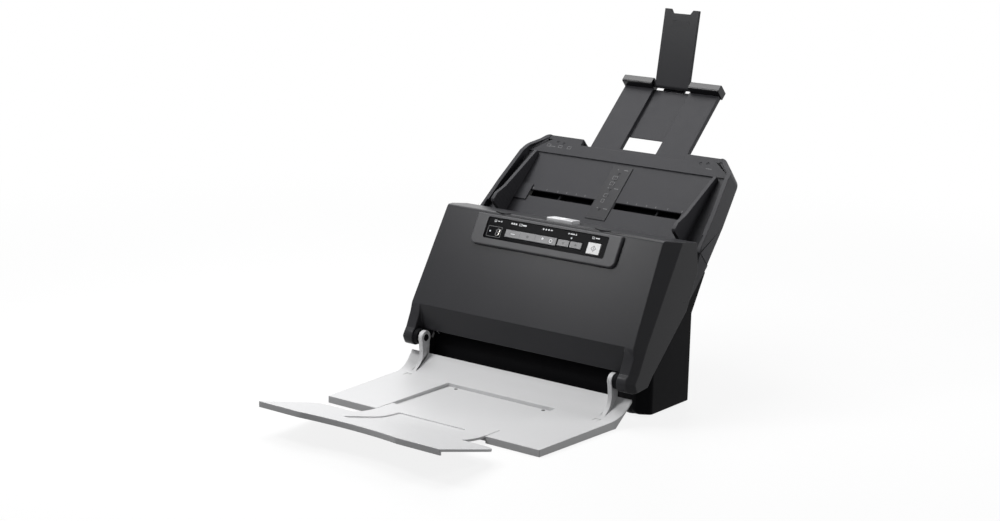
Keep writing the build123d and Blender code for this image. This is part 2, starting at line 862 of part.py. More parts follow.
nose_half = knuckle_inner_x - 0.5
cut_front = hinge_ahead + 35.0
mouth_n = 19.0
board_boss_r = 3.0
board_n = -12.0
boss_places = [(x, s) for x in (-60, 60) for s in (74.5, 103.5)]
tab_hole_half = 18.0
tab_hole_front = 41.0
tab_hole_back = 18.0
with BuildPart() as front_cover:
    extrude(cover_profile.sketch, amount=unit_half, both=True)
    add(corner_bevel.part, mode=Mode.SUBTRACT)
    add(mirror(corner_bevel.part, about=Plane.YZ, mode=Mode.PRIVATE), mode=Mode.SUBTRACT)
    with BuildSketch(Plane.YZ):
        add(cover_profile.sketch_local)
        offset(amount=-wall, kind=Kind.INTERSECTION)
        with BuildLine():
            Polyline(
                (ahead(cut_front), 20),
                (ahead(cut_front), crease_height + 1),
                (crease[0] + wall, crease_height + 1),
                (lip[0] + wall, lip_height),
                (lip[0] + wall, 20),
                close=True,
            )
        make_face(mode=Mode.SUBTRACT)
    extrude(amount=nose_half, both=True, mode=Mode.SUBTRACT)
    with BuildSketch(Plane.YZ):
        add(cover_profile.sketch_local)
        offset(amount=-wall, kind=Kind.INTERSECTION)
        with Locations((ahead(110), 60)):
            Rectangle(60, 76, mode=Mode.SUBTRACT)
    extrude(amount=unit_half - 14, both=True, mode=Mode.SUBTRACT)
    with BuildSketch(Plane.YZ):
        add(cover_profile.sketch_local)
        offset(amount=-wall, kind=Kind.INTERSECTION)
        with BuildLine():
            Polyline(
                (ahead(cut_front), 20),
                (ahead(77), 20),
                (ahead(77), 72),
                (ahead(34), 155),
                (ahead(34), 180),
                (ahead(cut_front), 180),
                close=True,
            )
        make_face(mode=Mode.SUBTRACT)
    extrude(amount=unit_half - wall, both=True, mode=Mode.SUBTRACT)
    with BuildSketch(side_at(0)):
        with BuildLine():
            Polyline(
                (seam_front_v - 2, -30),
                (-30, -30),
                (-30, mouth_n),
                (-60, mouth_n),
                (seam_front_v - 2, 4),
                close=True,
            )
        make_face()
    extrude(amount=unit_half - wall, both=True, mode=Mode.SUBTRACT)
    with BuildSketch(Plane.YZ):
        with BuildLine():
            Polyline(
                (ahead(cut_front), crease_height),
                crease,
                lip,
                (lip[0] + wall, lip_height),
                (ahead(70), 60),
                (ahead(70), 20),
                (ahead(cut_front), 20),
                close=True,
            )
        make_face()
    extrude(amount=nose_half, both=True, mode=Mode.SUBTRACT)
    for start_x in (-pin_outer_x - slide_gap, knuckle_inner_x - 1):
        with BuildSketch(Plane.YZ.offset(start_x)):
            with Locations(hinge):
                Circle(bore_r)
        extrude(amount=pin_outer_x + slide_gap - knuckle_inner_x + 1, mode=Mode.SUBTRACT)
    with BuildSketch(face_plane.offset(-wall - 1)):
        with Locations((0, (window_low_s + window_top_s) / 2)):
            Rectangle(2 * window_half - 4, window_top_s - window_low_s - 2)
    extrude(amount=wall + 3, mode=Mode.SUBTRACT)
    with BuildSketch(face_plane.offset(board_n + board_thick)):
        with Locations(*boss_places):
            Circle(board_boss_r)
    extrude(amount=-board_n - board_thick - 1)
    with BuildSketch(Plane.XY.offset(150)):
        with Locations((0, ahead((tab_hole_front + tab_hole_back) / 2))):
            Rectangle(2 * tab_hole_half, tab_hole_front - tab_hole_back)
    extrude(amount=30, mode=Mode.SUBTRACT)
save(front_cover.part, "front_cover")

# Upper guide plate with bearings for the idlers and the latch shaft
latch_y = ahead(30)
latch_z = 150.0
latch_v, latch_n = to_path(latch_y, latch_z)
latch_shaft_r = 2.5
latch_bearing_x = frame_inner_x - 5.5
hook_inner_x = frame_inner_x + 3.3
hook_outer_x = hook_inner_x + 3.2
flare_low_v = -68.0
flare_mid = (-56.0, 11.5)
flare_end = (-44.5, 17.2)
idler_bearing = 3.0
retard_row = [(0.0, 40.0)]
idler_rows = (
    ("retard_roller", feed_v, retard_row, 24.0),
    ("register_idlers", register_v, register_tyre_x, 99.0),
    ("eject_idlers", eject_v, eject_tyre_x, 72.0),
)
with BuildPart() as inner_cover:
    with BuildSketch(side_at(0)):
        with BuildLine():
            Polyline(
                (-173, upper_guide_n),
                (flare_low_v, upper_guide_n),
                flare_mid,
                flare_end,
                (flare_end[0] - 1, flare_end[1] + upper_plate - 0.4),
                (flare_mid[0] - 1, flare_mid[1] + upper_plate),
                (flare_low_v - 0.6, upper_guide_n + upper_plate),
                (-173, upper_guide_n + upper_plate),
                close=True,
            )
        make_face()
    extrude(amount=feed_low_half, both=True)
    with BuildSketch(side_at(0)):
        with Locations(((upper_low_v - 173) / 2 + 0.05, upper_guide_n + upper_plate / 2)):
            Rectangle(-173 - upper_low_v + 0.1, upper_plate)
    extrude(amount=arm_outer_x, both=True)
    for label, row_v, row, bearing_x in idler_rows:
        with BuildSketch(path_plane.offset(upper_guide_n)):
            for middle_x, length in row:
                with Locations((middle_x, row_v)):
                    Rectangle(length + 2 * window_margin, 14)
        extrude(amount=upper_plate, mode=Mode.SUBTRACT)
        for start_x in (-bearing_x - idler_bearing, bearing_x):
            with BuildSketch(side_at(start_x)):
                with Locations((row_v, (upper_guide_n + roller_n + 4) / 2)):
                    Rectangle(9, roller_n + 4 - upper_guide_n)
                with Locations((row_v, roller_n)):
                    Circle(idler_shaft_r + bore_gap, mode=Mode.SUBTRACT)
            extrude(amount=idler_bearing)
    with BuildSketch(path_plane.offset(upper_guide_n)):
        with Locations((0, scan_v)):
            Rectangle(2 * (glass_half_x + seat_gap), 2 * (glass_half_v + seat_gap))
    extrude(amount=upper_plate, mode=Mode.SUBTRACT)
    for start_x in (-latch_bearing_x - 3, latch_bearing_x):
        with BuildSketch(side_at(start_x)):
            with BuildLine():
                Polyline(
                    (latch_v - 7, upper_guide_n),
                    (flare_low_v, upper_guide_n),
                    flare_mid,
                    (flare_mid[0], latch_n - 4),
                    (latch_v + 5, latch_n + 5),
                    (latch_v - 7, latch_n + 5),
                    close=True,
                )
            make_face()
            with Locations((latch_v, latch_n)):
                Circle(latch_shaft_r + bore_gap, mode=Mode.SUBTRACT)
        extrude(amount=3)
    with BuildSketch(path_plane.offset(-2)):
        for side in (-1, 1):
            with Locations((side * (hook_inner_x + hook_outer_x) / 2, -67.5)):
                Rectangle(5.5, 17)
    extrude(amount=20, mode=Mode.SUBTRACT)
save(inner_cover.part, "inner_cover")

for label, row_v, row, bearing_x in idler_rows:
    with BuildPart() as idler:
        with BuildSketch(side_at(-bearing_x - idler_bearing)):
            with Locations((row_v, roller_n)):
                Circle(idler_shaft_r)
        extrude(amount=2 * (bearing_x + idler_bearing))
        for middle_x, length in row:
            with BuildSketch(side_at(middle_x - length / 2)):
                with Locations((row_v, roller_n)):
                    Circle(roller_r)
                    with PolarLocations(roller_r, 18):
                        Circle(0.3, mode=Mode.SUBTRACT)
            extrude(amount=length)
    save(idler.part, label)

# Latch shaft with its two hooks, and the release tab on it
strike_gap = 0.8
nose_v = strike_v - 1.5 - strike_gap
with BuildPart() as latch_shaft:
    with BuildSketch(side_at(-hook_outer_x)):
        with Locations((latch_v, latch_n)):
            Circle(latch_shaft_r)
    extrude(amount=2 * hook_outer_x)
    for start_x in (-hook_outer_x, hook_inner_x):
        with BuildSketch(side_at(start_x)):
            with BuildLine():
                Polyline(
                    (nose_v - 4.4, latch_n),
                    (nose_v - 4.4, strike_n - 5.5),
                    (nose_v - 1.5, strike_n - 5.5),
                    (nose_v, strike_n - 3.2),
                    (nose_v - 1.6, strike_n - 2),
                    (nose_v - 1.6, latch_n),
                    close=True,
                )
            make_face()
            with Locations((latch_v, latch_n)):
                Circle(5)
        extrude(amount=hook_outer_x - hook_inner_x)
save(latch_shaft.part, "latch_shaft")

tab_half = 15.5
tab_front = 38.0
tab_back = 25.0
tab_top = 168.6
with BuildPart() as release_tab:
    with BuildSketch(Plane.YZ):
        with BuildLine():
            Polyline(
                (ahead(32), latch_z),
                (ahead(33), tab_top - 5.5),
                (ahead(tab_front), tab_top - 3.6),
                (ahead(tab_front), tab_top),
                (ahead(tab_back), tab_top - 1.4),
                (ahead(tab_back), tab_top - 5),
                (ahead(28), tab_top - 6),
                (ahead(28), latch_z),
                close=True,
            )
        make_face()
    extrude(amount=tab_half, both=True)
    with BuildSketch(Plane.YZ.offset(5)):
        with BuildLine():
            Polyline(
                (ahead(50), latch_z - 10),
                (ahead(50), tab_top - 6.1),
                (ahead(10), tab_top - 6.1),
                (ahead(10), latch_z - 10),
                close=True,
            )
        make_face()
    extrude(amount=20, mode=Mode.SUBTRACT)
    with BuildSketch(Plane.YZ.offset(-5)):
        with BuildLine():
            Polyline(
                (ahead(50), latch_z - 10),
                (ahead(50), tab_top - 6.1),
                (ahead(10), tab_top - 6.1),
                (ahead(10), latch_z - 10),
                close=True,
            )
        make_face()
    extrude(amount=-20, mode=Mode.SUBTRACT)
    with BuildSketch(Plane.YZ):
        with Locations((latch_y, latch_z)):
            Circle(5)
    extrude(amount=5, both=True)
    with BuildSketch(Plane.YZ):
        with Locations((latch_y, latch_z)):
            Circle(latch_shaft_r + bore_gap)
    extrude(amount=6, both=True, mode=Mode.SUBTRACT)
    fillet(release_tab.edges().filter_by(Axis.X).group_by(Axis.Z)[-1], radius=1)
save(release_tab.part, "release_tab")

# Console: raised bezel, smoked window, keys, display and board
with BuildPart() as console_bezel:
    with BuildSketch(face_plane):
        with Locations((0, (bezel_low_s + bezel_top_s) / 2)):
            Rectangle(2 * bezel_half, bezel_top_s - bezel_low_s)
    extrude(amount=bezel_height)
    up_edges = console_bezel.edges().filter_by(Axis((0, 0, 0), face_plane.z_dir))
    fillet(up_edges.group_by(Axis.Z)[0], radius=7)
    fillet(console_bezel.faces().sort_by(Axis((0, 0, 0), face_plane.z_dir))[-1].edges(), radius=1.4)
    with BuildSketch(face_plane):
        with Locations((0, (window_low_s + window_top_s) / 2)):
            RectangleRounded(
                2 * (window_half + seat_gap), window_top_s - window_low_s + 2 * seat_gap, 2
            )
    extrude(amount=bezel_height, mode=Mode.SUBTRACT)
save(console_bezel.part, "console_bezel")

# Keys as (label, left x, right x, low s, high s)
keys = (
    ("long_key", -47.5, 14.6, 82.6, 90.7),
    ("left_pair_key", 16.0, 29.7, 83.4, 90.2),
    ("right_pair_key", 30.5, 44.5, 83.4, 90.2),
    ("start_key", 51.0, 66.0, 80.9, 92.5),
)
key_back = -3.0
with BuildPart() as console_window:
    with BuildSketch(face_plane):
        with Locations((0, (window_low_s + window_top_s) / 2)):
            RectangleRounded(2 * window_half, window_top_s - window_low_s, 2)
        for label, left_x, right_x, low_s, high_s in keys:
            with Locations(((left_x + right_x) / 2, (low_s + high_s) / 2)):
                Rectangle(
                    right_x - left_x + 2 * key_gap, high_s - low_s + 2 * key_gap, mode=Mode.SUBTRACT
                )
    extrude(amount=window_plate)
save(console_window.part, "console_window")

for label, left_x, right_x, low_s, high_s in keys:
    with BuildPart() as key:
        with BuildSketch(face_plane.offset(key_back)):
            with Locations(((left_x + right_x) / 2, (low_s + high_s) / 2)):
                Rectangle(right_x - left_x, high_s - low_s)
        extrude(amount=window_plate + key_proud - key_back)
        top_face = key.faces().sort_by(Axis((0, 0, 0), face_plane.z_dir))[-1]
        fillet(top_face.edges(), radius=0.5)
        with BuildSketch(face_plane.offset(key_back)):
            with Locations(((left_x + right_x) / 2, (low_s + high_s) / 2)):
                Rectangle(right_x - left_x - 1, high_s - low_s + 2)
        extrude(amount=-key_back - key_gap)
    save(key.part, label)

display_low_s = 81.5
display_high_s = 90.0
with BuildPart() as digit_display:
    with BuildSketch(face_plane.offset(board_n + board_thick)):
        with Locations((-61.5, (display_low_s + display_high_s) / 2)):
            Rectangle(15.5, display_high_s - display_low_s)
    extrude(amount=-board_n - board_thick - 0.4)
save(digit_display.part, "digit_display")

panel_low_s = bezel_low_s + 0.7
panel_high_s = bezel_top_s + 0.3
with BuildPart() as panel_board:
    with BuildSketch(face_plane.offset(board_n)):
        with Locations((0, (panel_low_s + panel_high_s) / 2)):
            Rectangle(2 * window_half - 7, panel_high_s - panel_low_s)
    extrude(amount=board_thick)
    with BuildSketch(face_plane.offset(board_n + board_thick)):
        for label, left_x, right_x, low_s, high_s in keys:
            with Locations(((left_x + right_x) / 2, (low_s + high_s) / 2)):
                Rectangle(6, 6)
    extrude(amount=key_back - key_travel - 0.3 - board_n - board_thick)
save(panel_board.part, "panel_board")

# Feed tray
with BuildSketch(Plane.XY) as feed_outline:
    with BuildLine():
        Polyline(
            (-feed_low_half, feed_low_v),
            (feed_low_half, feed_low_v),
            (feed_mid_half, feed_mid_v),
            (feed_shoulder_half, feed_shoulder_v),
            (feed_corner_half, feed_top_v),
            (-feed_corner_half, feed_top_v),
            (-feed_shoulder_half, feed_shoulder_v),
            (-feed_mid_half, feed_mid_v),
            close=True,
        )
    make_face()
    fillet(feed_outline.vertices().group_by(Axis.Y)[-1], radius=9)
    fillet(feed_outline.vertices().group_by(Axis.Y)[2], radius=14)

notch_half = extension_half + 5.0
notch_v = 67.0
rail_inner_x = extension_half + 0.5
rail_outer_x = rail_inner_x + 2.5
pad_x = extension_half - 10.0
cheek = wall
with BuildPart() as feed_tray:
    with BuildSketch(path_plane.offset(tray_under_n)):
        add(feed_outline.sketch_local)
    extrude(amount=rim_n - tray_under_n)
    with BuildSketch(path_plane.offset(tray_under_n)):
        add(feed_outline.sketch_local)
        offset(amount=-cheek, kind=Kind.INTERSECTION)
    extrude(amount=-tray_under_n - feed_plate, mode=Mode.SUBTRACT)
    with BuildSketch(path_plane):
        add(feed_outline.sketch_local)
        offset(amount=-rim_width, kind=Kind.INTERSECTION)
        with Locations((0, feed_top_v)):
            Rectangle(2 * feed_low_half, 2 * (feed_top_v - ledge_v), mode=Mode.SUBTRACT)
        with Locations((0, feed_low_v)):
            Rectangle(2 * (feed_low_half - rim_width), 40)
    extrude(amount=rim_n + 1, mode=Mode.SUBTRACT)
    with BuildSketch(path_plane.offset(ledge_n)):
        add(feed_outline.sketch_local)
        offset(amount=-rim_width, kind=Kind.INTERSECTION)
        with Locations((0, ledge_v - 50)):
            Rectangle(2 * feed_low_half, 98, mode=Mode.SUBTRACT)
        with Locations((0, feed_top_v)):
            Rectangle(2 * (feed_corner_half - 4), 16)
    extrude(amount=rim_n + 1, mode=Mode.SUBTRACT)
    with BuildSketch(side_at(0)):
        with BuildLine():
            Polyline(
                (rim_fall_v, rim_n),
                (feed_top_v - 7, ledge_n + rim_end_rise),
                (feed_top_v + 1, ledge_n + rim_end_rise),
                (feed_top_v + 1, rim_n + 2),
                (rim_fall_v, rim_n + 2),
                close=True,
            )
        make_face()
        with BuildLine():
            Polyline((-36, rim_n), (-53, 0), (-53, rim_n + 1), (-36, rim_n + 1), close=True)
        make_face()
    extrude(amount=150, both=True, mode=Mode.SUBTRACT)
    with BuildSketch(side_at(0)):
        with Locations((feed_low_v + 2, (tray_under_n - feed_plate) / 2)):
            Rectangle(10, -feed_plate - tray_under_n + 0.4)
    extrude(amount=feed_low_half - cheek, both=True, mode=Mode.SUBTRACT)
    with BuildSketch(path_plane.offset(tray_under_n - 1)):
        with Locations((0, notch_v + 20)):
            Rectangle(2 * notch_half, 40)
    extrude(amount=40, mode=Mode.SUBTRACT)
    with BuildSketch(path_plane.offset(-feed_plate)):
        for side in (-1, 1):
            with Locations((side * (slot_inner_x + slot_outer_x) / 2, 0)):
                Rectangle(slot_outer_x - slot_inner_x, 2 * slot_half)
    extrude(amount=feed_plate, mode=Mode.SUBTRACT)
    with BuildSketch(path_plane.offset(ledge_n - 0.5)):
        for side in (-1, 1):
            with Locations((side * 84, 66), (side * 92, 67)):
                Circle(1.3)
    extrude(amount=2, mode=Mode.SUBTRACT)
    for start_x in (-rail_outer_x, rail_inner_x):
        with BuildSketch(side_at(start_x)):
            with Locations((14, (extension_low_n - 0.1 - feed_plate) / 2)):
                Rectangle(104, -feed_plate - extension_low_n + 0.1)
            with Locations((0, (extension_top_n + 0.3 - feed_plate) / 2)):
                Rectangle(32, -feed_plate - extension_top_n - 0.3, mode=Mode.SUBTRACT)
        extrude(amount=rail_outer_x - rail_inner_x)
    with BuildSketch(path_plane.offset(extension_top_n + slide_gap)):
        with Locations((-pad_x, 42), (pad_x, 42)):
            Rectangle(10, 34)
    extrude(amount=-feed_plate - extension_top_n - slide_gap)
    with BuildSketch(path_plane.offset(rack_low_n - 0.6)):
        Circle(2)
    extrude(amount=-feed_plate - rack_low_n + 0.6)
    with BuildSketch(path_plane.offset(rack_top_n + seat_gap)):
        Circle(4)
    extrude(amount=-feed_plate - rack_top_n - seat_gap)
    for start_x in (-feed_low_half, feed_low_half - cheek):
        with BuildSketch(side_at(start_x)):
            with BuildLine():
                Polyline(
                    (-41, 5.6),
                    (-53, 0),
                    (-85, -9),
                    (-90, base_top_n + seat_gap),
                    (-41, base_top_n + seat_gap),
                    close=True,
                )
            make_face()
        extrude(amount=cheek)
save(feed_tray.part, "feed_tray")

with BuildPart() as tray_back:
    with BuildSketch(path_plane.offset(tray_under_n)):
        add(feed_outline.sketch_local)
        offset(amount=-cheek - seat_gap, kind=Kind.INTERSECTION)
        with Locations((0, notch_v + 19.6)):
            Rectangle(2 * notch_half, 40, mode=Mode.SUBTRACT)
    extrude(amount=-tray_under_n + extension_low_n - slide_gap)
    with BuildSketch(path_plane.offset(tray_under_n)):
        with GridLocations(60, 16, 3, 4):
            SlotOverall(40, 2.4)
    extrude(amount=0.8, mode=Mode.SUBTRACT)
save(tray_back.part, "tray_back")

strip_half = 12.0
with BuildPart() as centre_strip:
    with BuildSketch(path_plane):
        with Locations((0, 14)):
            Rectangle(2 * strip_half, 68)
    extrude(amount=0.8)
    with BuildSketch(path_plane.offset(0.4)):
        with Locations((0, 24)):
            with GridLocations(0, 7, 1, 5):
                Circle(1.6)
        with Locations((0, -8)):
            Circle(1.6)
    extrude(amount=1, mode=Mode.SUBTRACT)
save(centre_strip.part, "centre_strip")

# Paper guides, their racks and the pinion between them
foot_inner_x = guide_face_x - 15.0
foot_half_v = 10.0
stem_inner_x = guide_face_x - 12.0
stem_outer_x = guide_face_x - 4.0
stem_half_v = 2.2
guide_low_n = 0.3
rack_bar_v = 10.25
rack_back_v = 14.0
rack_reach_x = 12.0
rack_far_x = guide_face_x - 2.0
tooth_pitch = pi * tooth_module
addendum = 0.8
dedendum = 1.25
teeth_before = 2
teeth_after = 27


def involute(angle):
    """Involute function of a pressure angle in radians."""
    return tan(angle) - angle


def flank_point(radius, side):
    """Point on one flank of a pinion tooth that is centred on the X axis."""
    base_r = pinion_r * cos(radians(pressure_angle))
    roll = acos(min(1, base_r / radius))
    half = tooth_pitch / 4 / pinion_r + involute(radians(pressure_angle)) - involute(roll)
    return (radius * cos(half), side * radius * sin(half))


with BuildSketch() as rack_tooth:
    rack_half = tooth_pitch / 4 - tooth_backlash / 2
    lean = tan(radians(pressure_angle))
    with BuildLine():
        Polyline(
            (-rack_half - dedendum * lean, pinion_r + dedendum + 0.1),
            (-rack_half + addendum * lean, pinion_r - addendum),
            (rack_half - addendum * lean, pinion_r - addendum),
            (rack_half + dedendum * lean, pinion_r + dedendum + 0.1),
            close=True,
        )
    make_face()

with BuildSketch() as pinion_tooth:
    pinion_base_r = pinion_r * cos(radians(pressure_angle))
    root_r = pinion_r - dedendum
    tip_r = pinion_r + addendum
    base_low = flank_point(pinion_base_r, -1)
    base_high = flank_point(pinion_base_r, 1)
    with BuildLine():
        Spline(base_low, flank_point(pinion_r, -1), flank_point(tip_r, -1))
        Line(flank_point(tip_r, -1), flank_point(tip_r, 1))
        Spline(flank_point(tip_r, 1), flank_point(pinion_r, 1), base_high)
        Polyline(base_high, (root_r - 0.4, base_high[1]), (root_r - 0.4, base_low[1]), base_low)
    make_face()

with BuildSketch() as rack_plan:
    with Locations(((rack_reach_x - rack_far_x) / 2, (rack_bar_v + rack_back_v) / 2)):
        Rectangle(rack_far_x + rack_reach_x, rack_back_v - rack_bar_v)
    with Locations(((-stem_inner_x - stem_outer_x) / 2, rack_back_v / 2 - 1.5)):
        Rectangle(12, rack_back_v + 3)
    with Locations(*[(-tooth_pitch * k, 0) for k in range(-teeth_before, teeth_after + 1)]):
        add(rack_tooth.sketch)

for side, label in ((-1, "left"), (1, "right")):
    wall_start = min(side * guide_face_x, side * (guide_face_x + guide_wall))
    with BuildPart() as guide:
        with BuildSketch(side_at(wall_start)):
            with BuildLine():
                Polyline(
                    (guide_low, guide_low_n),
                    (guide_high, guide_low_n),
                    (guide_high, 5.5),
                    (-10, 20),
                    (-24, 26),
                    (guide_low + 2, 26),
                    (guide_low, 24),
                    close=True,
                )
            make_face()
        extrude(amount=guide_wall)
        with BuildSketch(path_plane.offset(guide_low_n)):
            with Locations((side * (foot_inner_x + guide_face_x) / 2, 0)):
                Rectangle(guide_face_x - foot_inner_x + 1, 2 * foot_half_v)
        extrude(amount=1.2)
        with BuildSketch(path_plane.offset(rack_top_n)):
            with Locations((side * (stem_inner_x + stem_outer_x) / 2, 0)):
                Rectangle(stem_outer_x - stem_inner_x, 2 * stem_half_v)
        extrude(amount=guide_low_n - rack_top_n + 0.5)
    save(guide.part, label + "_guide")
    with BuildPart() as rack:
        with BuildSketch(path_plane.offset(rack_low_n)):
            add(rack_plan.sketch, rotation=0 if side < 0 else 180)
        extrude(amount=rack_top_n - rack_low_n)
    save(rack.part, label + "_rack")

pinion_pin_r = 2.0
with BuildPart() as rack_pinion:
    with BuildSketch(path_plane.offset(rack_low_n)):
        Circle(root_r)
        with PolarLocations(0, pinion_teeth):
            add(pinion_tooth.sketch)
        Circle(pinion_pin_r + bore_gap, mode=Mode.SUBTRACT)
    extrude(amount=rack_top_n - rack_low_n)
save(rack_pinion.part, "rack_pinion")

# Tray extension with its recess and grip hole
with BuildPart() as tray_extension:
    with BuildSketch(path_plane.offset(extension_low_n)):
        with Locations((0, (extension_low_v + extension_top_v) / 2)):
            Rectangle(2 * extension_half, extension_top_v - extension_low_v)
    extrude(amount=extension_top_n - extension_low_n)
    side_edges = tray_extension.edges().filter_by(Axis((0, 0, 0), path_side.x_dir))
    fillet(side_edges.group_by(Axis.Z)[-1], radius=0.8)
    with BuildSketch(path_plane.offset(extension_low_n + recess_floor)):
        with Locations((0, (extension_recess_low_v + extension_top_v + 5) / 2)):
            Rectangle(2 * extension_recess_half, extension_top_v + 5 - extension_recess_low_v)
    extrude(amount=10, mode=Mode.SUBTRACT)
    with BuildSketch(path_plane.offset(extension_low_n - 1)):
        with Locations((0, (extension_recess_low_v + grip_hole_top_v) / 2)):
            Rectangle(2 * extension_recess_half, grip_hole_top_v - extension_recess_low_v)
    extrude(amount=10, mode=Mode.SUBTRACT)
save(tray_extension.part, "tray_extension")

bar_gap_half = flip_half + 1.5
bar_floor_half = 13.0
bar_rib_v = 160.5
bar_rib_n = -11.2
flip_pin_half = 26.0
with BuildPart() as extension_crossbar:
    with BuildSketch(side_at(0)):
        with Locations(((bar_low_v + bar_top_v) / 2, (bar_low_n + bar_top_n) / 2)):
            Rectangle(bar_top_v - bar_low_v, bar_top_n - bar_low_n)
    extrude(amount=bar_half, both=True)
    bar_edges = extension_crossbar.edges().filter_by(Axis.X)
    bar_edges = bar_edges.sort_by(Axis(path_side.origin, path_plane.z_dir))
    fillet(bar_edges[-2:], radius=2)
    with BuildSketch(side_at(0)):
        with Locations(((bar_low_v + bar_top_v) / 2, bar_rib_n + 15)):
            Rectangle(bar_top_v - bar_low_v + 8, 30)
    extrude(amount=bar_gap_half, both=True, mode=Mode.SUBTRACT)
    for start_x in (-bar_gap_half, bar_floor_half):
        with BuildSketch(side_at(start_x)):
            with Locations(((bar_rib_v + bar_top_v + 4) / 2, (bar_low_n + bar_top_n) / 2)):
                Rectangle(bar_top_v + 4 - bar_rib_v, 2 * (bar_top_n - bar_low_n))
        extrude(amount=bar_gap_half - bar_floor_half, mode=Mode.SUBTRACT)
    with BuildSketch(side_at(0)):
        with Locations((flip_v, flip_n)):
            Circle(flip_pin_r + bore_gap / 2)
    extrude(amount=flip_pin_half + seat_gap, both=True, mode=Mode.SUBTRACT)
save(extension_crossbar.part, "extension_crossbar")

with BuildPart() as flip_pin:
    with BuildSketch(side_at(0)):
        with Locations((flip_v, flip_n)):
            Circle(flip_pin_r)
    extrude(amount=flip_pin_half, both=True)
save(flip_pin.part, "flip_pin")

# Flip-up support, drawn raised
flip_y, flip_z = on_path(flip_v, flip_n)
barrel_half = flip_half
flip_plane = Plane(origin=(0, flip_y, flip_z), x_dir=(1, 0, 0), z_dir=(0, -flip_s, flip_c))
with BuildPart() as flip_support:
    with BuildSketch(flip_plane.offset(flip_offset)):
        with BuildLine():
            Polyline(
                (-flip_half, 0),
                (flip_half, 0),
                (flip_half, flip_length),
                (13.5, flip_length),
                (10.5, flip_length - 4.4),
                (-10.5, flip_length - 4.4),
                (-13.5, flip_length),
                (-flip_half, flip_length),
                close=True,
            )
        make_face()
    extrude(amount=flip_plate)
    with BuildSketch(flip_plane.offset(flip_offset)):
        with Locations((0, flip_length / 2)):
            Rectangle(2 * flip_half - 6, flip_length - 22)
    extrude(amount=flip_plate - 1.6, mode=Mode.SUBTRACT)
    with BuildSketch(side_at(0)):
        with Locations((flip_v, flip_n)):
            Circle(flip_barrel_r)
    extrude(amount=barrel_half, both=True)
    with BuildSketch(side_at(0)):
        with Locations((flip_v, flip_n)):
            Circle(flip_pin_r + bore_gap)
    extrude(amount=barrel_half + 1, both=True, mode=Mode.SUBTRACT)
save(flip_support.part, "flip_support")

# Output tray: curved plate with skirts, a sunken pan and two arms
tray_back_end = (ahead(tray_back_ahead), tray_back_top)
tray_bend = (ahead(tray_bend_ahead), tray_bend_top)
tray_front = (ahead(tray_front_ahead), tray_front_top)
tray_run = (tray_bend[0] - tray_front[0], tray_bend[1] - tray_front[1])
with BuildSketch(Plane.YZ) as tray_section:
    with BuildLine():
        Polyline(
            tray_bend,
            tray_front,
            (tray_front[0], 0),
            (ahead(tray_bend_ahead - 8), 0),
            (tray_back_end[0], tray_back_top - tray_plate - 0.8),
            tray_back_end,
        )
        TangentArc(tray_bend, tray_back_end, tangent=tray_run)
    make_face()

with BuildSketch(Plane.XY) as tray_plan:
    with BuildLine():
        Polyline(
            (-tray_back_half, ahead(tray_back_ahead)),
            (tray_back_half, ahead(tray_back_ahead)),
            (tray_side_half, ahead(tray_side_ahead)),
            (tray_front_half, ahead(tray_front_ahead)),
            (-tray_front_half, ahead(tray_front_ahead)),
            (-tray_side_half, ahead(tray_side_ahead)),
            close=True,
        )
    make_face()

pan_wall = 2.5
pan_length = tray_front_ahead - recess_back_ahead
with BuildSketch(Plane.XY) as pan_plan:
    with Locations((0, ahead(recess_back_ahead + pan_length / 2))):
        Rectangle(2 * recess_half, pan_length)

with BuildPart() as tray_inside:
    with BuildSketch(Plane.YZ):
        with BuildLine():
            low_bend = (tray_bend[0] + 0.8, tray_bend_top - tray_plate)
            low_back = (tray_back_end[0] + 1, tray_back_top - tray_plate - 0.8)
            Polyline(
                low_bend,
                (tray_front[0] + tray_plate, tray_front_top - tray_plate),
                (tray_front[0] + tray_plate, -1),
                (low_back[0], -1),
                low_back,
            )
            TangentArc(low_bend, low_back, tangent=tray_run)
        make_face()
    extrude(amount=tray_back_half, both=True)
    with BuildSketch(Plane.XY.offset(-1)):
        add(tray_plan.sketch_local)
        offset(amount=-tray_plate, kind=Kind.INTERSECTION)
        with Locations((0, ahead(tray_back_ahead))):
            Rectangle(2 * (tray_back_half - tray_plate), 12)
        with Locations((0, ahead(recess_back_ahead + pan_length / 2))):
            Rectangle(2 * (recess_half + pan_wall), pan_length + 2 * pan_wall, mode=Mode.SUBTRACT)
    extrude(amount=60, mode=Mode.INTERSECT)

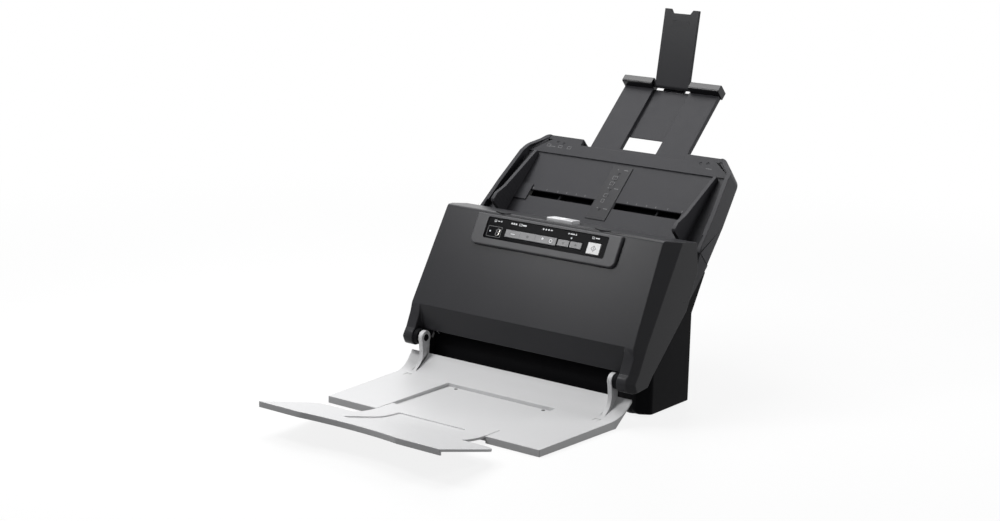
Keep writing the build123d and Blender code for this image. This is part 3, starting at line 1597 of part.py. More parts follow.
dot_x = recess_half - 12.0
stem_front = hinge_ahead + 5.0
stem_height = 27.0
with BuildPart() as output_tray:
    extrude(tray_section.sketch, amount=tray_back_half, both=True)
    with BuildSketch(Plane.XY):
        add(tray_plan.sketch_local)
    extrude(amount=60, mode=Mode.INTERSECT)
    add(tray_inside.part, mode=Mode.SUBTRACT)
    with BuildSketch(Plane.XY.offset(pan_top)):
        add(pan_plan.sketch_local)
    extrude(amount=20, mode=Mode.SUBTRACT)
    with BuildSketch(Plane.XY):
        add(pan_plan.sketch_local)
    extrude(amount=pan_top - pan_plate, mode=Mode.SUBTRACT)
    with BuildSketch(Plane.XY):
        with Locations((-dot_x, ahead(recess_back_ahead + 3)), (dot_x, ahead(recess_back_ahead + 3))):
            Circle(1.4)
    extrude(amount=pan_top, mode=Mode.SUBTRACT)
    for start_x in (-arm_outer_x, arm_inner_x):
        with BuildSketch(Plane.YZ.offset(start_x)):
            with BuildLine():
                foot_tip = (tray_bend[0] + 2, tray_bend_top + 0.1)
                foot_rear = (tray_back_end[0] + 0.8, tray_back_top - 2)
                Polyline(
                    foot_tip,
                    (tray_bend[0] + 4, tray_bend_top - 1),
                    (tray_bend[0] + 14, tray_bend_top + 1.6),
                    (tray_bend[0] + 22, tray_bend_top + 7),
                    foot_rear,
                    (hinge[0] + arm_ring_r - 1, hinge_height - 3.5),
                    (hinge[0] - arm_ring_r + 0.8, hinge_height - 3),
                    (ahead(stem_front), stem_height),
                )
                TangentArc(foot_tip, (ahead(stem_front), stem_height), tangent=(1, 0))
            make_face()
            with Locations(hinge):
                Circle(arm_ring_r)
        extrude(amount=arm_thickness)
        with BuildSketch(Plane.YZ.offset(start_x)):
            with Locations(hinge):
                Circle(bore_r)
        extrude(amount=arm_thickness, mode=Mode.SUBTRACT)
save(output_tray.part, "output_tray")

# Output extension: flat neck in the pan, curving up into a wide head with a turned-down lip
neck_half = recess_half - 0.7
neck_top = pan_top + slide_gap + neck_plate
overrun = 40.0
straight_run = output_reach - neck_bend_ahead - bend_r * sin(incline) + overrun


def strip_line(depth):
    """Side outline this deep under the top face: bend, end of the bend, far end."""
    radius = bend_r + depth
    bend = (ahead(neck_bend_ahead), neck_top - depth)
    bend_end = (bend[0] - radius * sin(incline), neck_top + bend_r - radius * cos(incline))
    far_end = (bend_end[0] - straight_run, bend_end[1] + straight_run * tan(incline))
    return bend, bend_end, far_end


def strip_face(top_depth, low_depth):
    """Side face of the strip between two depths under its top face."""
    top = strip_line(top_depth)
    low = strip_line(low_depth)
    with BuildSketch(Plane.YZ) as side_face:
        with BuildLine():
            rear_top = (ahead(neck_rear_ahead), neck_top - top_depth)
            rear_low = (ahead(neck_rear_ahead), neck_top - low_depth)
            Polyline(low[0], rear_low, rear_top, top[0])
            TangentArc(top[0], top[1], tangent=(-1, 0))
            Polyline(top[1], top[2], low[2], low[1])
            TangentArc(low[0], low[1], tangent=(-1, 0))
        make_face()
    return side_face.sketch


with BuildSketch(Plane.XY) as head_plan:
    with BuildLine():
        notch_left = (-front_notch_half, ahead(output_reach))
        notch_right = (front_notch_half, ahead(output_reach))
        Polyline(
            notch_left,
            (-head_half, ahead(output_reach)),
            (-head_half, ahead(output_reach - head_depth)),
            (head_half, ahead(output_reach - head_depth)),
            (head_half, ahead(output_reach)),
            notch_right,
        )
        ThreePointArc(notch_left, (0, ahead(output_reach - front_notch_deep)), notch_right)
    make_face()
    fillet(head_plan.vertices().group_by(Axis.Y)[-1], radius=14)

plate_face = strip_face(0, neck_plate)
lip_face = strip_face(0.2, lip_drop)
panel_face = strip_face(-2, panel_deep)
with BuildPart() as turned_lip:
    extrude(lip_face, amount=head_half, both=True)
    with BuildSketch(Plane.XY):
        add(head_plan.sketch)
        with Locations((0, lip_plate)):
            add(head_plan.sketch, mode=Mode.SUBTRACT)
    extrude(amount=120, mode=Mode.INTERSECT)

panel_length = 80.0
with BuildPart() as sunken_panel:
    extrude(panel_face, amount=panel_half, both=True)
    with BuildSketch(Plane.XY):
        with Locations((0, ahead(output_reach - panel_length))):
            RectangleRounded(2 * panel_half, panel_length, 3)
    extrude(amount=120, mode=Mode.INTERSECT)

neck_front_ahead = output_reach - 20.0
with BuildPart() as output_extension:
    extrude(plate_face, amount=head_half, both=True)
    with BuildSketch(Plane.XY):
        add(head_plan.sketch)
        with Locations((0, ahead((neck_rear_ahead + neck_front_ahead) / 2))):
            Rectangle(2 * neck_half, neck_front_ahead - neck_rear_ahead)
    extrude(amount=120, mode=Mode.INTERSECT)
    add(turned_lip.part)
    add(sunken_panel.part, mode=Mode.SUBTRACT)
save(output_extension.part, "output_extension")
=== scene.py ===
import bmesh
import bpy
from math import cos, pi, radians, sin
from mathutils import Matrix, Vector


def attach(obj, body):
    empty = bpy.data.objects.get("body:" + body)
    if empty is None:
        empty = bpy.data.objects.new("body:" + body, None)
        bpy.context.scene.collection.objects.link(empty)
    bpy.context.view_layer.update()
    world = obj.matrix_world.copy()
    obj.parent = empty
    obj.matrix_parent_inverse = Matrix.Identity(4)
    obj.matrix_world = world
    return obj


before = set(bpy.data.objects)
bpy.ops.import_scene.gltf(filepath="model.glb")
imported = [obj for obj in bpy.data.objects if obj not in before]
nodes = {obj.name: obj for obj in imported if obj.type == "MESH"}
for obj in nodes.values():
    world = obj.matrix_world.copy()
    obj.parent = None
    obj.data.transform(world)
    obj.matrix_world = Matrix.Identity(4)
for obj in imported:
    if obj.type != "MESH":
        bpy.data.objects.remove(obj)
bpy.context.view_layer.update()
print("frame loaded with", len(nodes), "nodes")

mm = 0.001


# a socket in a wrapper, so that shader maths reads as an expression
class Wire:
    def __init__(self, bench, socket):
        self.bench = bench
        self.socket = socket

    def math(self, operation, *values):
        return self.bench.node("ShaderNodeMath", {"operation": operation}, dict(enumerate(values)))

    def __add__(self, other):
        return self.math("ADD", self, other)

    def __sub__(self, other):
        return self.math("SUBTRACT", self, other)

    def __mul__(self, other):
        return self.math("MULTIPLY", self, other)

    def __gt__(self, other):
        return self.math("GREATER_THAN", self, other)

    def __rsub__(self, other):
        return self.math("SUBTRACT", other, self)

    __radd__ = __add__
    __rmul__ = __mul__


# a node tree that is filled through one method
class Bench:
    def __init__(self, tree, outputKind):
        self.tree = tree
        tree.nodes.clear()
        self.output = tree.nodes.new(outputKind)

    def node(self, kind, settings, sockets, result=0):
        made = self.tree.nodes.new(kind)
        for name, value in settings.items():
            setattr(made, name, value)
        for name, value in sockets.items():
            self.put(made.inputs[name], value)
        return Wire(self, made.outputs[result])

    def put(self, socket, value):
        if isinstance(value, Wire):
            self.tree.links.new(value.socket, socket)
        else:
            socket.default_value = value

    def show(self, surface):
        self.put(self.output.inputs["Surface"], surface)

    # one where the camera looks straight, by a reflection or through glass
    def seen(self):
        kinds = ("Is Camera Ray", "Is Glossy Ray", "Is Transmission Ray")
        straight, glossy, through = (self.node("ShaderNodeLightPath", {}, {}, kind) for kind in kinds)
        clamped = {"operation": "ADD", "use_clamp": True}
        return self.node("ShaderNodeMath", clamped, {0: straight + glossy, 1: through})


class Finish(Bench):
    def __init__(self, name):
        self.material = bpy.data.materials.new(name)
        self.material.use_nodes = True
        super().__init__(self.material.node_tree, "ShaderNodeOutputMaterial")
        self.shaded = self.node("ShaderNodeBsdfPrincipled", {}, {})
        self.show(self.shaded)
        self.place = self.node("ShaderNodeTexCoord", {}, {}, "Object")

    def set(self, **values):
        shader = self.shaded.socket.node
        for name, value in values.items():
            self.put(shader.inputs[name.replace("_", " ")], value)

    def noise(self, scale, detail=2.0, rough=0.5, place=None):
        sockets = {"Vector": place or self.place, "Scale": scale, "Detail": detail, "Roughness": rough}
        return self.node("ShaderNodeTexNoise", {}, sockets)

    def mix(self, share, first, second):
        return self.node("ShaderNodeMix", {"data_type": "RGBA"}, {0: share, 6: first, 7: second}, 2)

    def bump(self, height, depth, strength):
        sockets = {"Height": height, "Distance": depth, "Strength": strength}
        return self.node("ShaderNodeBump", {}, sockets)


def shade(tint, factor):
    return tuple(min(1.0, part * factor) for part in tint) + (1.0,)


# moulded plastic and rubber: an eroded grain, fine specks and a slight drift of tone
mouldLook = {"speckScale": 2300.0, "swirlScale": 140.0, "grainShare": 0.7, "ior": 1.48, "specular": 0.5}


def mouldedPlastic(name, look):
    finish = Finish(name)
    drift = finish.noise(look["driftScale"], detail=3.0)
    speck = finish.noise(mouldLook["speckScale"], detail=1.0)
    grain = finish.noise(look["grainScale"], rough=0.6)
    swirl = finish.noise(mouldLook["swirlScale"], detail=4.0, rough=0.6)
    tone = drift * (1 - look["speck"]) + speck * look["speck"]
    low, high = shade(look["tint"], 1 - look["spread"]), shade(look["tint"], 1 + look["spread"])
    rough = look["rough"] + (swirl - 0.5) * look["roughSpread"] + (drift - 0.5) * look["roughSpread"]
    height = grain * mouldLook["grainShare"] + swirl * (1 - mouldLook["grainShare"])
    finish.set(Base_Color=finish.mix(tone, low, high), Roughness=rough, IOR=mouldLook["ior"])
    finish.set(Normal=finish.bump(height, look["depth"], look["bump"]))
    finish.set(Specular_IOR_Level=look.get("specular", mouldLook["specular"]))
    return finish


plasticLooks = {
    "bezelGrey": {
        "tint": (0.066, 0.066, 0.070), "rough": 0.34, "roughSpread": 0.10, "spread": 0.12, "speck": 0.45,
        "driftScale": 20.0, "grainScale": 2600.0, "depth": 0.00004, "bump": 0.3, "specular": 0.14},
    "charcoal": {
        "tint": (0.034, 0.034, 0.037), "rough": 0.30, "roughSpread": 0.06, "spread": 0.16, "speck": 0.45,
        "driftScale": 9.0, "grainScale": 2600.0, "depth": 0.00005, "bump": 0.35, "specular": 0.10},
    "deepBlack": {
        "tint": (0.008, 0.008, 0.009), "rough": 0.5, "roughSpread": 0.10, "spread": 0.2, "speck": 0.45,
        "driftScale": 8.0, "grainScale": 2400.0, "depth": 0.00005, "bump": 0.35, "specular": 0.03},
    "traySurface": {
        "tint": (0.036, 0.036, 0.040), "rough": 0.5, "roughSpread": 0.10, "spread": 0.2, "speck": 0.5,
        "driftScale": 10.0, "grainScale": 1500.0, "depth": 0.00008, "bump": 0.45, "specular": 0.15},
    "lightGrey": {
        "tint": (0.62, 0.62, 0.625), "rough": 0.45, "roughSpread": 0.10, "spread": 0.035, "speck": 0.4,
        "driftScale": 7.0, "grainScale": 2200.0, "depth": 0.00005, "bump": 0.3},
    "whiteResin": {
        "tint": (0.66, 0.66, 0.62), "rough": 0.4, "roughSpread": 0.08, "spread": 0.04, "speck": 0.3,
        "driftScale": 30.0, "grainScale": 1800.0, "depth": 0.00004, "bump": 0.25},
    "greyKey": {
        "tint": (0.075, 0.075, 0.081), "rough": 0.36, "roughSpread": 0.08, "spread": 0.08, "speck": 0.4,
        "driftScale": 60.0, "grainScale": 3000.0, "depth": 0.00003, "bump": 0.25},
    "whiteKey": {
        "tint": (0.62, 0.62, 0.62), "rough": 0.34, "roughSpread": 0.06, "spread": 0.03, "speck": 0.4,
        "driftScale": 60.0, "grainScale": 3000.0, "depth": 0.00003, "bump": 0.2},
    # black rubber of the feet and belts; the same dark finish also serves the painted hole shade on the
    # output tray
    "blackRubberAndHoleShade": {
        "tint": (0.024, 0.024, 0.024), "rough": 0.78, "roughSpread": 0.14, "spread": 0.25, "speck": 0.5,
        "driftScale": 60.0, "grainScale": 900.0, "depth": 0.00012, "bump": 0.5},
    "rollerRubber": {
        "tint": (0.16, 0.16, 0.165), "rough": 0.72, "roughSpread": 0.12, "spread": 0.15, "speck": 0.5,
        "driftScale": 90.0, "grainScale": 1100.0, "depth": 0.0001, "bump": 0.5},
    "displayCase": {
        "tint": (0.012, 0.012, 0.013), "rough": 0.3, "roughSpread": 0.06, "spread": 0.2, "speck": 0.4,
        "driftScale": 80.0, "grainScale": 2600.0, "depth": 0.00003, "bump": 0.2},
    "printWhite": {
        "tint": (0.72, 0.73, 0.75), "rough": 0.45, "roughSpread": 0.06, "spread": 0.05, "speck": 0.4,
        "driftScale": 200.0, "grainScale": 4000.0, "depth": 0.00001, "bump": 0.1},
    "printGrey": {
        "tint": (0.13, 0.13, 0.135), "rough": 0.45, "roughSpread": 0.06, "spread": 0.08, "speck": 0.4,
        "driftScale": 200.0, "grainScale": 4000.0, "depth": 0.00001, "bump": 0.1},
    "printBlack": {
        "tint": (0.012, 0.012, 0.012), "rough": 0.4, "roughSpread": 0.06, "spread": 0.1, "speck": 0.4,
        "driftScale": 200.0, "grainScale": 4000.0, "depth": 0.00001, "bump": 0.1},
    "silverPlastic": {
        "tint": (0.70, 0.70, 0.71), "rough": 0.3, "roughSpread": 0.08, "spread": 0.05, "speck": 0.5,
        "driftScale": 50.0, "grainScale": 3500.0, "depth": 0.00003, "bump": 0.2},
}
finishes = {name: mouldedPlastic(name, look) for name, look in plasticLooks.items()}


# polished black panels: dust specks and a faint waviness
polishLook = {
    "dustScale": 1400.0, "dustTone": 5.0, "dustRough": 0.3, "hazeScale": 26.0, "hazeRough": 0.05,
    "waveScale": 42.0, "depth": 0.00006, "bump": 0.2, "coatRough": 0.08}


def polishedBlack(name, look):
    finish = Finish(name)
    dust = finish.noise(polishLook["dustScale"], rough=0.6) > look["dust"]
    haze = finish.noise(polishLook["hazeScale"], detail=3.0)
    wave = finish.noise(polishLook["waveScale"], detail=1.0)
    speckTone = shade(look["tint"], polishLook["dustTone"])
    rough = look["rough"] + haze * polishLook["hazeRough"] + dust * polishLook["dustRough"]
    finish.set(Base_Color=finish.mix(dust, shade(look["tint"], 1.0), speckTone), Roughness=rough)
    finish.set(Normal=finish.bump(wave, polishLook["depth"], polishLook["bump"]))
    finish.set(Coat_Weight=look["coat"] + haze * look["coatHaze"], Coat_Roughness=polishLook["coatRough"])
    finish.set(Specular_IOR_Level=look["specular"])
    return finish


polishedLooks = {
    "glossBlack": {
        "tint": (0.010, 0.010, 0.012), "rough": 0.16, "dust": 0.73, "specular": 0.2, "coat": 0.05,
        "coatHaze": 0.1},
    "smokedPanel": {
        "tint": (0.005, 0.005, 0.006), "rough": 0.12, "dust": 0.75, "specular": 0.008, "coat": 0.0,
        "coatHaze": 0.005},
}
finishes.update({name: polishedBlack(name, look) for name, look in polishedLooks.items()})


# turned, rolled or drawn metal, brushed along one direction
brushLook = {
    "lineShare": 0.6, "stainScale": 60.0, "low": 0.86, "high": 1.12, "roughSpread": 0.14,
    "depth": 0.00003, "bump": 0.35}


def brushedMetal(name, look):
    finish = Finish(name)
    stretch = finish.node("ShaderNodeMapping", {}, {"Vector": finish.place, "Scale": look["stretch"]})
    lines = finish.noise(1.0, detail=3.0, rough=0.6, place=stretch)
    stain = finish.noise(brushLook["stainScale"], detail=3.0)
    tone = lines * brushLook["lineShare"] + stain * (1 - brushLook["lineShare"])
    low, high = shade(look["tint"], brushLook["low"]), shade(look["tint"], brushLook["high"])
    finish.set(Base_Color=finish.mix(tone, low, high), Metallic=1.0)
    finish.set(Roughness=look["rough"] + lines * brushLook["roughSpread"])
    finish.set(Normal=finish.bump(lines, brushLook["depth"], brushLook["bump"]))
    return finish


metalLooks = {
    "steel": {"tint": (0.50, 0.50, 0.51), "rough": 0.24, "stretch": (900, 5000, 5000)},
    "frameSteel": {"tint": (0.42, 0.43, 0.44), "rough": 0.3, "stretch": (2500, 400, 400)},
    "contactMetal": {"tint": (0.62, 0.52, 0.30), "rough": 0.22, "stretch": (3000, 900, 3000)},
}
finishes.update({name: brushedMetal(name, look) for name, look in metalLooks.items()})


# optical glass over the scan slots, slightly smeared
def clearGlass(name, look):
    finish = Finish(name)
    smear = finish.noise(look["smearScale"], detail=4.0, rough=0.6)
    finish.set(Base_Color=finish.mix(smear, look["low"], look["high"]), IOR=look["ior"])
    finish.set(Roughness=look["rough"] + smear * look["roughSpread"], Transmission_Weight=look["clear"])
    return finish


glassLook = {
    "low": (0.80, 0.86, 0.85, 1), "high": (0.88, 0.92, 0.91, 1), "smearScale": 34.0, "ior": 1.5,
    "rough": 0.02, "roughSpread": 0.05, "clear": 0.85}
finishes["scanGlass"] = clearGlass("scanGlass", glassLook)


# solder mask with copper tracks running in two directions
def circuitBoard(name, look):
    finish = Finish(name)

    def tracks(run):
        sockets = {"Vector": finish.place, "Scale": run["scale"], "Distortion": run["wander"]}
        sockets.update({"Detail": 1.0, "Detail Scale": run["fine"]})
        wave = finish.node("ShaderNodeTexWave", {"bands_direction": run["bands"]}, sockets, 1)
        return wave > run["edge"]

    across, along = tracks(look["across"]), tracks(look["along"])
    patch = finish.noise(look["patchScale"], detail=1.0) > look["patchShare"]
    track = across * patch + along * (1 - patch)
    tone = finish.noise(look["toneScale"])
    mask = finish.mix(tone, look["maskLow"], look["maskHigh"])
    finish.set(Base_Color=finish.mix(track, mask, look["track"]))
    finish.set(Roughness=look["rough"] + tone * look["roughSpread"])
    finish.set(Normal=finish.bump(track, look["depth"], look["bump"]))
    return finish


boardLook = {
    "maskLow": (0.010, 0.075, 0.030, 1), "maskHigh": (0.016, 0.105, 0.042, 1),
    "track": (0.03, 0.17, 0.06, 1), "rough": 0.3, "roughSpread": 0.1, "toneScale": 400.0,
    "across": {"bands": "X", "scale": 160.0, "wander": 3.0, "fine": 0.4, "edge": 0.72},
    "along": {"bands": "Y", "scale": 130.0, "wander": 2.0, "fine": 0.5, "edge": 0.75},
    "patchScale": 55.0, "patchShare": 0.5, "depth": 0.00006, "bump": 0.6}
finishes["board"] = circuitBoard("board", boardLook)


# lit segments and lamps, slightly uneven
glowLook = {"grainScale": 700.0, "lowTone": 0.85, "lowLight": 0.8, "rough": 0.35}


def glowing(name, look):
    finish = Finish(name)
    flicker = finish.noise(glowLook["grainScale"], detail=1.0)
    full = shade(look["tint"], 1.0)
    tone = finish.mix(flicker, shade(look["tint"], glowLook["lowTone"]), full)
    light = finish.mix(flicker, shade(look["tint"], glowLook["lowLight"]), full)
    finish.set(Base_Color=tone, Roughness=glowLook["rough"])
    finish.set(Emission_Color=light, Emission_Strength=look["power"])
    return finish


glowLooks = {
    "litSegment": {"tint": (1.0, 0.97, 0.90), "power": 0.85},
    "litLamp": {"tint": (0.62, 0.66, 0.70), "power": 0.35},
}
finishes.update({name: glowing(name, look) for name, look in glowLooks.items()})
print("finishes ready:", len(finishes))

nodeFinish = {
    "base_housing": "deepBlack", "bottom_plate": "deepBlack", "rubber_feet": "blackRubberAndHoleShade",
    "base_screws": "steel", "hinge_bracket_left": "deepBlack", "hinge_bracket_right": "deepBlack",
    "hinge_pins": "deepBlack", "lower_frame": "frameSteel", "shaft_bearings": "whiteResin",
    "lower_guide": "deepBlack", "drive_belt": "blackRubberAndHoleShade", "motor_belt": "blackRubberAndHoleShade",
    "motor": "frameSteel", "lower_scan_unit": "displayCase", "lower_scan_glass": "scanGlass",
    "main_board": "board", "power_inlet": "deepBlack", "data_port": "silverPlastic",
    "switch_frame": "deepBlack", "feed_tray": "traySurface", "tray_back": "deepBlack",
    "centre_strip": "charcoal", "power_rocker": "glossBlack", "feed_shaft": "steel",
    "feed_tyres": "rollerRubber", "register_shaft": "steel", "register_tyres": "rollerRubber",
    "eject_shaft": "steel", "eject_tyres": "rollerRubber", "motor_pulley": "steel",
    "front_cover": "charcoal", "inner_cover": "deepBlack", "upper_scan_unit": "displayCase",
    "upper_scan_glass": "scanGlass", "console_bezel": "bezelGrey", "console_window": "smokedPanel",
    "digit_display": "displayCase", "panel_board": "board", "long_key": "greyKey",
    "left_pair_key": "greyKey", "right_pair_key": "greyKey", "start_key": "whiteKey",
    "latch_shaft": "steel", "release_tab": "silverPlastic", "retard_roller": "rollerRubber",
    "register_idlers": "whiteResin", "eject_idlers": "whiteResin", "left_guide": "traySurface",
    "left_rack": "whiteResin", "right_guide": "traySurface", "right_rack": "whiteResin",
    "rack_pinion": "whiteResin", "tray_extension": "traySurface", "extension_crossbar": "glossBlack",
    "flip_pin": "steel", "flip_support": "charcoal", "output_tray": "lightGrey",
    "output_extension": "lightGrey",
}
# rounded edges in millimetres; the rest keep the edges of the solids
edgeRounding = {
    "base_housing": 0.8, "front_cover": 0.9, "feed_tray": 0.5, "tray_back": 0.4, "tray_extension": 0.4,
    "extension_crossbar": 0.4, "flip_support": 0.35, "output_tray": 0.5, "output_extension": 0.4,
    "left_guide": 0.4, "right_guide": 0.4, "release_tab": 0.3, "hinge_bracket_left": 0.5,
    "hinge_bracket_right": 0.5, "inner_cover": 0.3, "centre_strip": 0.2, "console_window": 0.25,
    "power_rocker": 0.4, "switch_frame": 0.3, "power_inlet": 0.3, "bottom_plate": 0.3,
}
roundingLook = {"weld": 0.002, "flatAngle": 0.4, "segments": 2, "edgeAngle": 28.0, "weight": 80}


def roundEdges(piece, width):
    weld = piece.modifiers.new("weld", "WELD")
    weld.merge_threshold = roundingLook["weld"] * mm
    flat = piece.modifiers.new("flat", "DECIMATE")
    flat.decimate_type = "DISSOLVE"
    flat.angle_limit = radians(roundingLook["flatAngle"])
    bevel = piece.modifiers.new("bevel", "BEVEL")
    bevel.width = width * mm
    bevel.segments = roundingLook["segments"]
    bevel.limit_method = "ANGLE"
    bevel.angle_limit = radians(roundingLook["edgeAngle"])
    bevel.use_clamp_overlap = False
    even = piece.modifiers.new("even", "WEIGHTED_NORMAL")
    even.keep_sharp = False
    even.weight = roundingLook["weight"]


for name, finishName in nodeFinish.items():
    piece = nodes[name]
    piece.data.materials.clear()
    piece.data.materials.append(finishes[finishName].material)
    if name in edgeRounding:
        roundEdges(piece, edgeRounding[name])
print("nodes dressed")


# a flat spot of the body: up is given as run and rise, so (1, 0) lies level, and the third
# axis leaves the surface; side is -1 where the spot faces backwards
def frameOf(origin, up, side=1):
    across = Vector((side, 0, 0))
    up = Vector((0, *up)).normalized()
    turn = Matrix((across, up, across.cross(up))).transposed().to_4x4()
    return Matrix.Translation(Vector(origin) * mm) @ turn


# driving places of the solids in millimetres
bodyLines = {
    "baseBack": 88.2581, "creaseAhead": 102.0, "creaseHeight": 74.0, "faceRun": 51.0, "faceRise": 94.0,
    "pathBehind": 38.0, "pathHeight": 172.5, "pathSlope": radians(43.5), "windowTop": 2.2, "keyTop": 3.0,
    "panTop": 4.4, "socketHeight": 30.0}
baseBack = bodyLines["baseBack"]
faceOrigin = (0, baseBack - bodyLines["creaseAhead"], bodyLines["creaseHeight"])
faceFrame = frameOf(faceOrigin, (bodyLines["faceRun"], bodyLines["faceRise"]))
pathOrigin = (0, baseBack + bodyLines["pathBehind"], bodyLines["pathHeight"])
pathFrame = frameOf(pathOrigin, (cos(bodyLines["pathSlope"]), sin(bodyLines["pathSlope"])))


def pieceFrom(bm, name, material, smooth=False):
    for face in bm.faces:
        face.smooth = smooth
    mesh = bpy.data.meshes.new(name)
    bm.to_mesh(mesh)
    bm.free()
    mesh.materials.append(material)
    piece = bpy.data.objects.new(name, mesh)
    bpy.context.scene.collection.objects.link(piece)
    return piece


# a piece drawn in millimetres on a flat spot, brought to its place and body
def fitPiece(bm, name, body, finishName, place, smooth=False):
    bmesh.ops.recalc_face_normals(bm, faces=bm.faces)
    bmesh.ops.scale(bm, vec=(mm, mm, mm), verts=bm.verts)
    bmesh.ops.transform(bm, matrix=place, verts=bm.verts)
    piece = pieceFrom(bm, name, finishes[finishName].material, smooth)
    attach(piece, body)


def block(bm, centre, size):
    place = Matrix.Translation(centre) @ Matrix.Diagonal((*size, 1))
    bmesh.ops.create_cube(bm, size=1.0, matrix=place)


# printed signs on a flat spot: x and y lie on it, and lift is the height of their underside
class Signs:
    def __init__(self, lift, thick=0.05):
        self.bm = bmesh.new()
        self.lift = lift
        self.thick = thick

    def at(self, x, y, turn):
        spot = Matrix.Translation((x, y, self.lift + self.thick / 2))
        return spot @ Matrix.Rotation(radians(turn), 4, "Z")

    def bar(self, x, y, width, height, turn=0.0):
        place = self.at(x, y, turn) @ Matrix.Diagonal((width, height, self.thick, 1))
        bmesh.ops.create_cube(self.bm, size=1.0, matrix=place)

    def disc(self, x, y, radius, sides=20, turn=0.0):
        bmesh.ops.create_cone(self.bm, cap_ends=True, segments=sides, radius1=radius, radius2=radius,
                              depth=self.thick, matrix=self.at(x, y, turn))

    def arrow(self, x, y, radius, turn):
        self.disc(x, y, radius, 3, turn)

    def ring(self, x, y, radius, line, sides=24, overlap=1.05):
        span = 2 * pi * radius / sides * overlap
        for k in range(sides):
            angle = 360.0 * (k + 0.5) / sides
            spoke = Vector((cos(radians(angle)), sin(radians(angle)))) * radius
            self.bar(x + spoke.x, y + spoke.y, line, span, angle)

    # the outline of a sheet of paper
    def sheet(self, x, y, width, height, line):
        for side in (-1, 1):
            self.bar(x + side * (width - line) / 2, y, line, height)
            self.bar(x, y + side * (height - line) / 2, width, line)


# signs over the keys, along one row of the smoked window
consoleMarks = {
    "row": 97.4, "gap": 0.02, "sheetHeight": 2.3, "arrow": 1.25,
    "sheets": ((-63.6, 2.6, 0.45), (-32.6, 4.0, 0.5), (54.6, 3.0, 0.45)),
    "bars": ((-59.6, 3.0, 0.6), (-43.5, 1.9, 1.5), (-40.8, 1.9, 1.5), (-38.1, 1.9, 1.5),
             (-27.6, 4.6, 1.4), (5.0, 2.4, 1.0), (30.0, 5.0, 1.2), (59.6, 4.6, 1.3)),
    "dots": ((-56.4, 0.75), (-4.8, 0.95), (-1.6, 0.95), (1.6, 0.95)),
    "arrows": ((25.6, 180.0), (34.4, 0.0)),
}
row = consoleMarks["row"]
windowLift = bodyLines["windowTop"] + consoleMarks["gap"]
signs = Signs(windowLift)
for x, width, line in consoleMarks["sheets"]:
    signs.sheet(x, row, width, consoleMarks["sheetHeight"], line)
for x, width, height in consoleMarks["bars"]:
    signs.bar(x, row, width, height)
for x, radius in consoleMarks["dots"]:
    signs.disc(x, row, radius)
for x, turn in consoleMarks["arrows"]:
    signs.arrow(x, row, consoleMarks["arrow"], turn)
fitPiece(signs.bm, "console_marks", "front_unit", "printWhite", faceFrame)

# thin frame line round the digit window
displayLine = {"x": -61.5, "s": 86.2, "width": 17.0, "height": 11.0, "line": 0.35, "thick": 0.03}
signs = Signs(windowLift, displayLine["thick"])
signs.sheet(*(displayLine[key] for key in ("x", "s", "width", "height", "line")))
fitPiece(signs.bm, "display_outline", "front_unit", "printGrey", faceFrame)

# seven slanted segments of one digit, with the two of a one lit
digit = {
    "x": -57.2, "s": 86.0, "width": 3.6, "height": 6.6, "line": 0.85, "slant": 8.0, "uprightTrim": 0.9,
    "levelTrim": 1.1, "uprightThick": 0.06, "levelThick": 0.03}
half, quarter = digit["width"] / 2, digit["height"] / 4
lean = sin(radians(digit["slant"]))
uprights = {True: ((half, quarter), (half, -quarter)), False: ((-half, -quarter), (-half, quarter))}


def uprightBars(signs, lit):
    signs.thick = digit["uprightThick"]
    for dx, dy in uprights[lit]:
        signs.bar(digit["x"] + dx + dy * lean, digit["s"] + dy, digit["line"],
                  2 * quarter - digit["uprightTrim"], -digit["slant"])


signs = Signs(windowLift)
uprightBars(signs, True)
fitPiece(signs.bm, "lit_segments", "front_unit", "litSegment", faceFrame)
signs = Signs(windowLift)
uprightBars(signs, False)
signs.thick = digit["levelThick"]
for dy in (2 * quarter, 0.0, -2 * quarter):
    signs.bar(digit["x"] + dy * lean, digit["s"] + dy, digit["width"] - digit["levelTrim"], digit["line"])
fitPiece(signs.bm, "unlit_segments", "front_unit", "printGrey", faceFrame)

# lamps beside the digit and above the keys, as low domes
lamps = {"spots": ((-66.5, 86.2), (30.1, 93.2)), "radius": 0.9, "squash": 0.45, "sink": 0.1}
bm = bmesh.new()
for x, s in lamps["spots"]:
    spot = Matrix.Translation((x, s, bodyLines["windowTop"] - lamps["sink"]))
    bmesh.ops.create_uvsphere(bm, u_segments=16, v_segments=8, radius=lamps["radius"],
                              matrix=spot @ Matrix.Diagonal((1, 1, lamps["squash"], 1)))
fitPiece(bm, "console_lamps", "front_unit", "litLamp", faceFrame, True)

# signs on the keys; a seam line parts the fields of the long key
longKeyMarks = {
    "dot": (-2.0, 87.6, 1.2), "bar": (-38.0, 86.6, 5.0, 0.7), "ring": (8.0, 86.6, 1.6, 0.5),
    "darkDot": (-20.0, 86.4, 1.5), "seams": (-29.5, -11.0), "seam": (86.6, 0.35, 5.6),
    "seamThick": 0.04, "gap": 0.01}
keyLift = bodyLines["keyTop"] + longKeyMarks["gap"]
signs = Signs(keyLift)
signs.disc(*longKeyMarks["dot"])
signs.bar(*longKeyMarks["bar"])
signs.ring(*longKeyMarks["ring"])
fitPiece(signs.bm, "long_key_light_marks", "long_key", "printWhite", faceFrame)
signs = Signs(keyLift)
signs.disc(*longKeyMarks["darkDot"])
signs.thick = longKeyMarks["seamThick"]
for x in longKeyMarks["seams"]:
    signs.bar(x, *longKeyMarks["seam"])
fitPiece(signs.bm, "long_key_dark_marks", "long_key", "printBlack", faceFrame)

pairMarks = {"s": 86.8, "radius": 1.9, "left": (22.8, 180.0), "right": (37.5, 0.0)}
for word in ("left", "right"):
    x, turn = pairMarks[word]
    signs = Signs(keyLift)
    signs.arrow(x, pairMarks["s"], pairMarks["radius"], turn)
    fitPiece(signs.bm, word + "_pair_mark", word + "_pair_key", "printBlack", faceFrame)

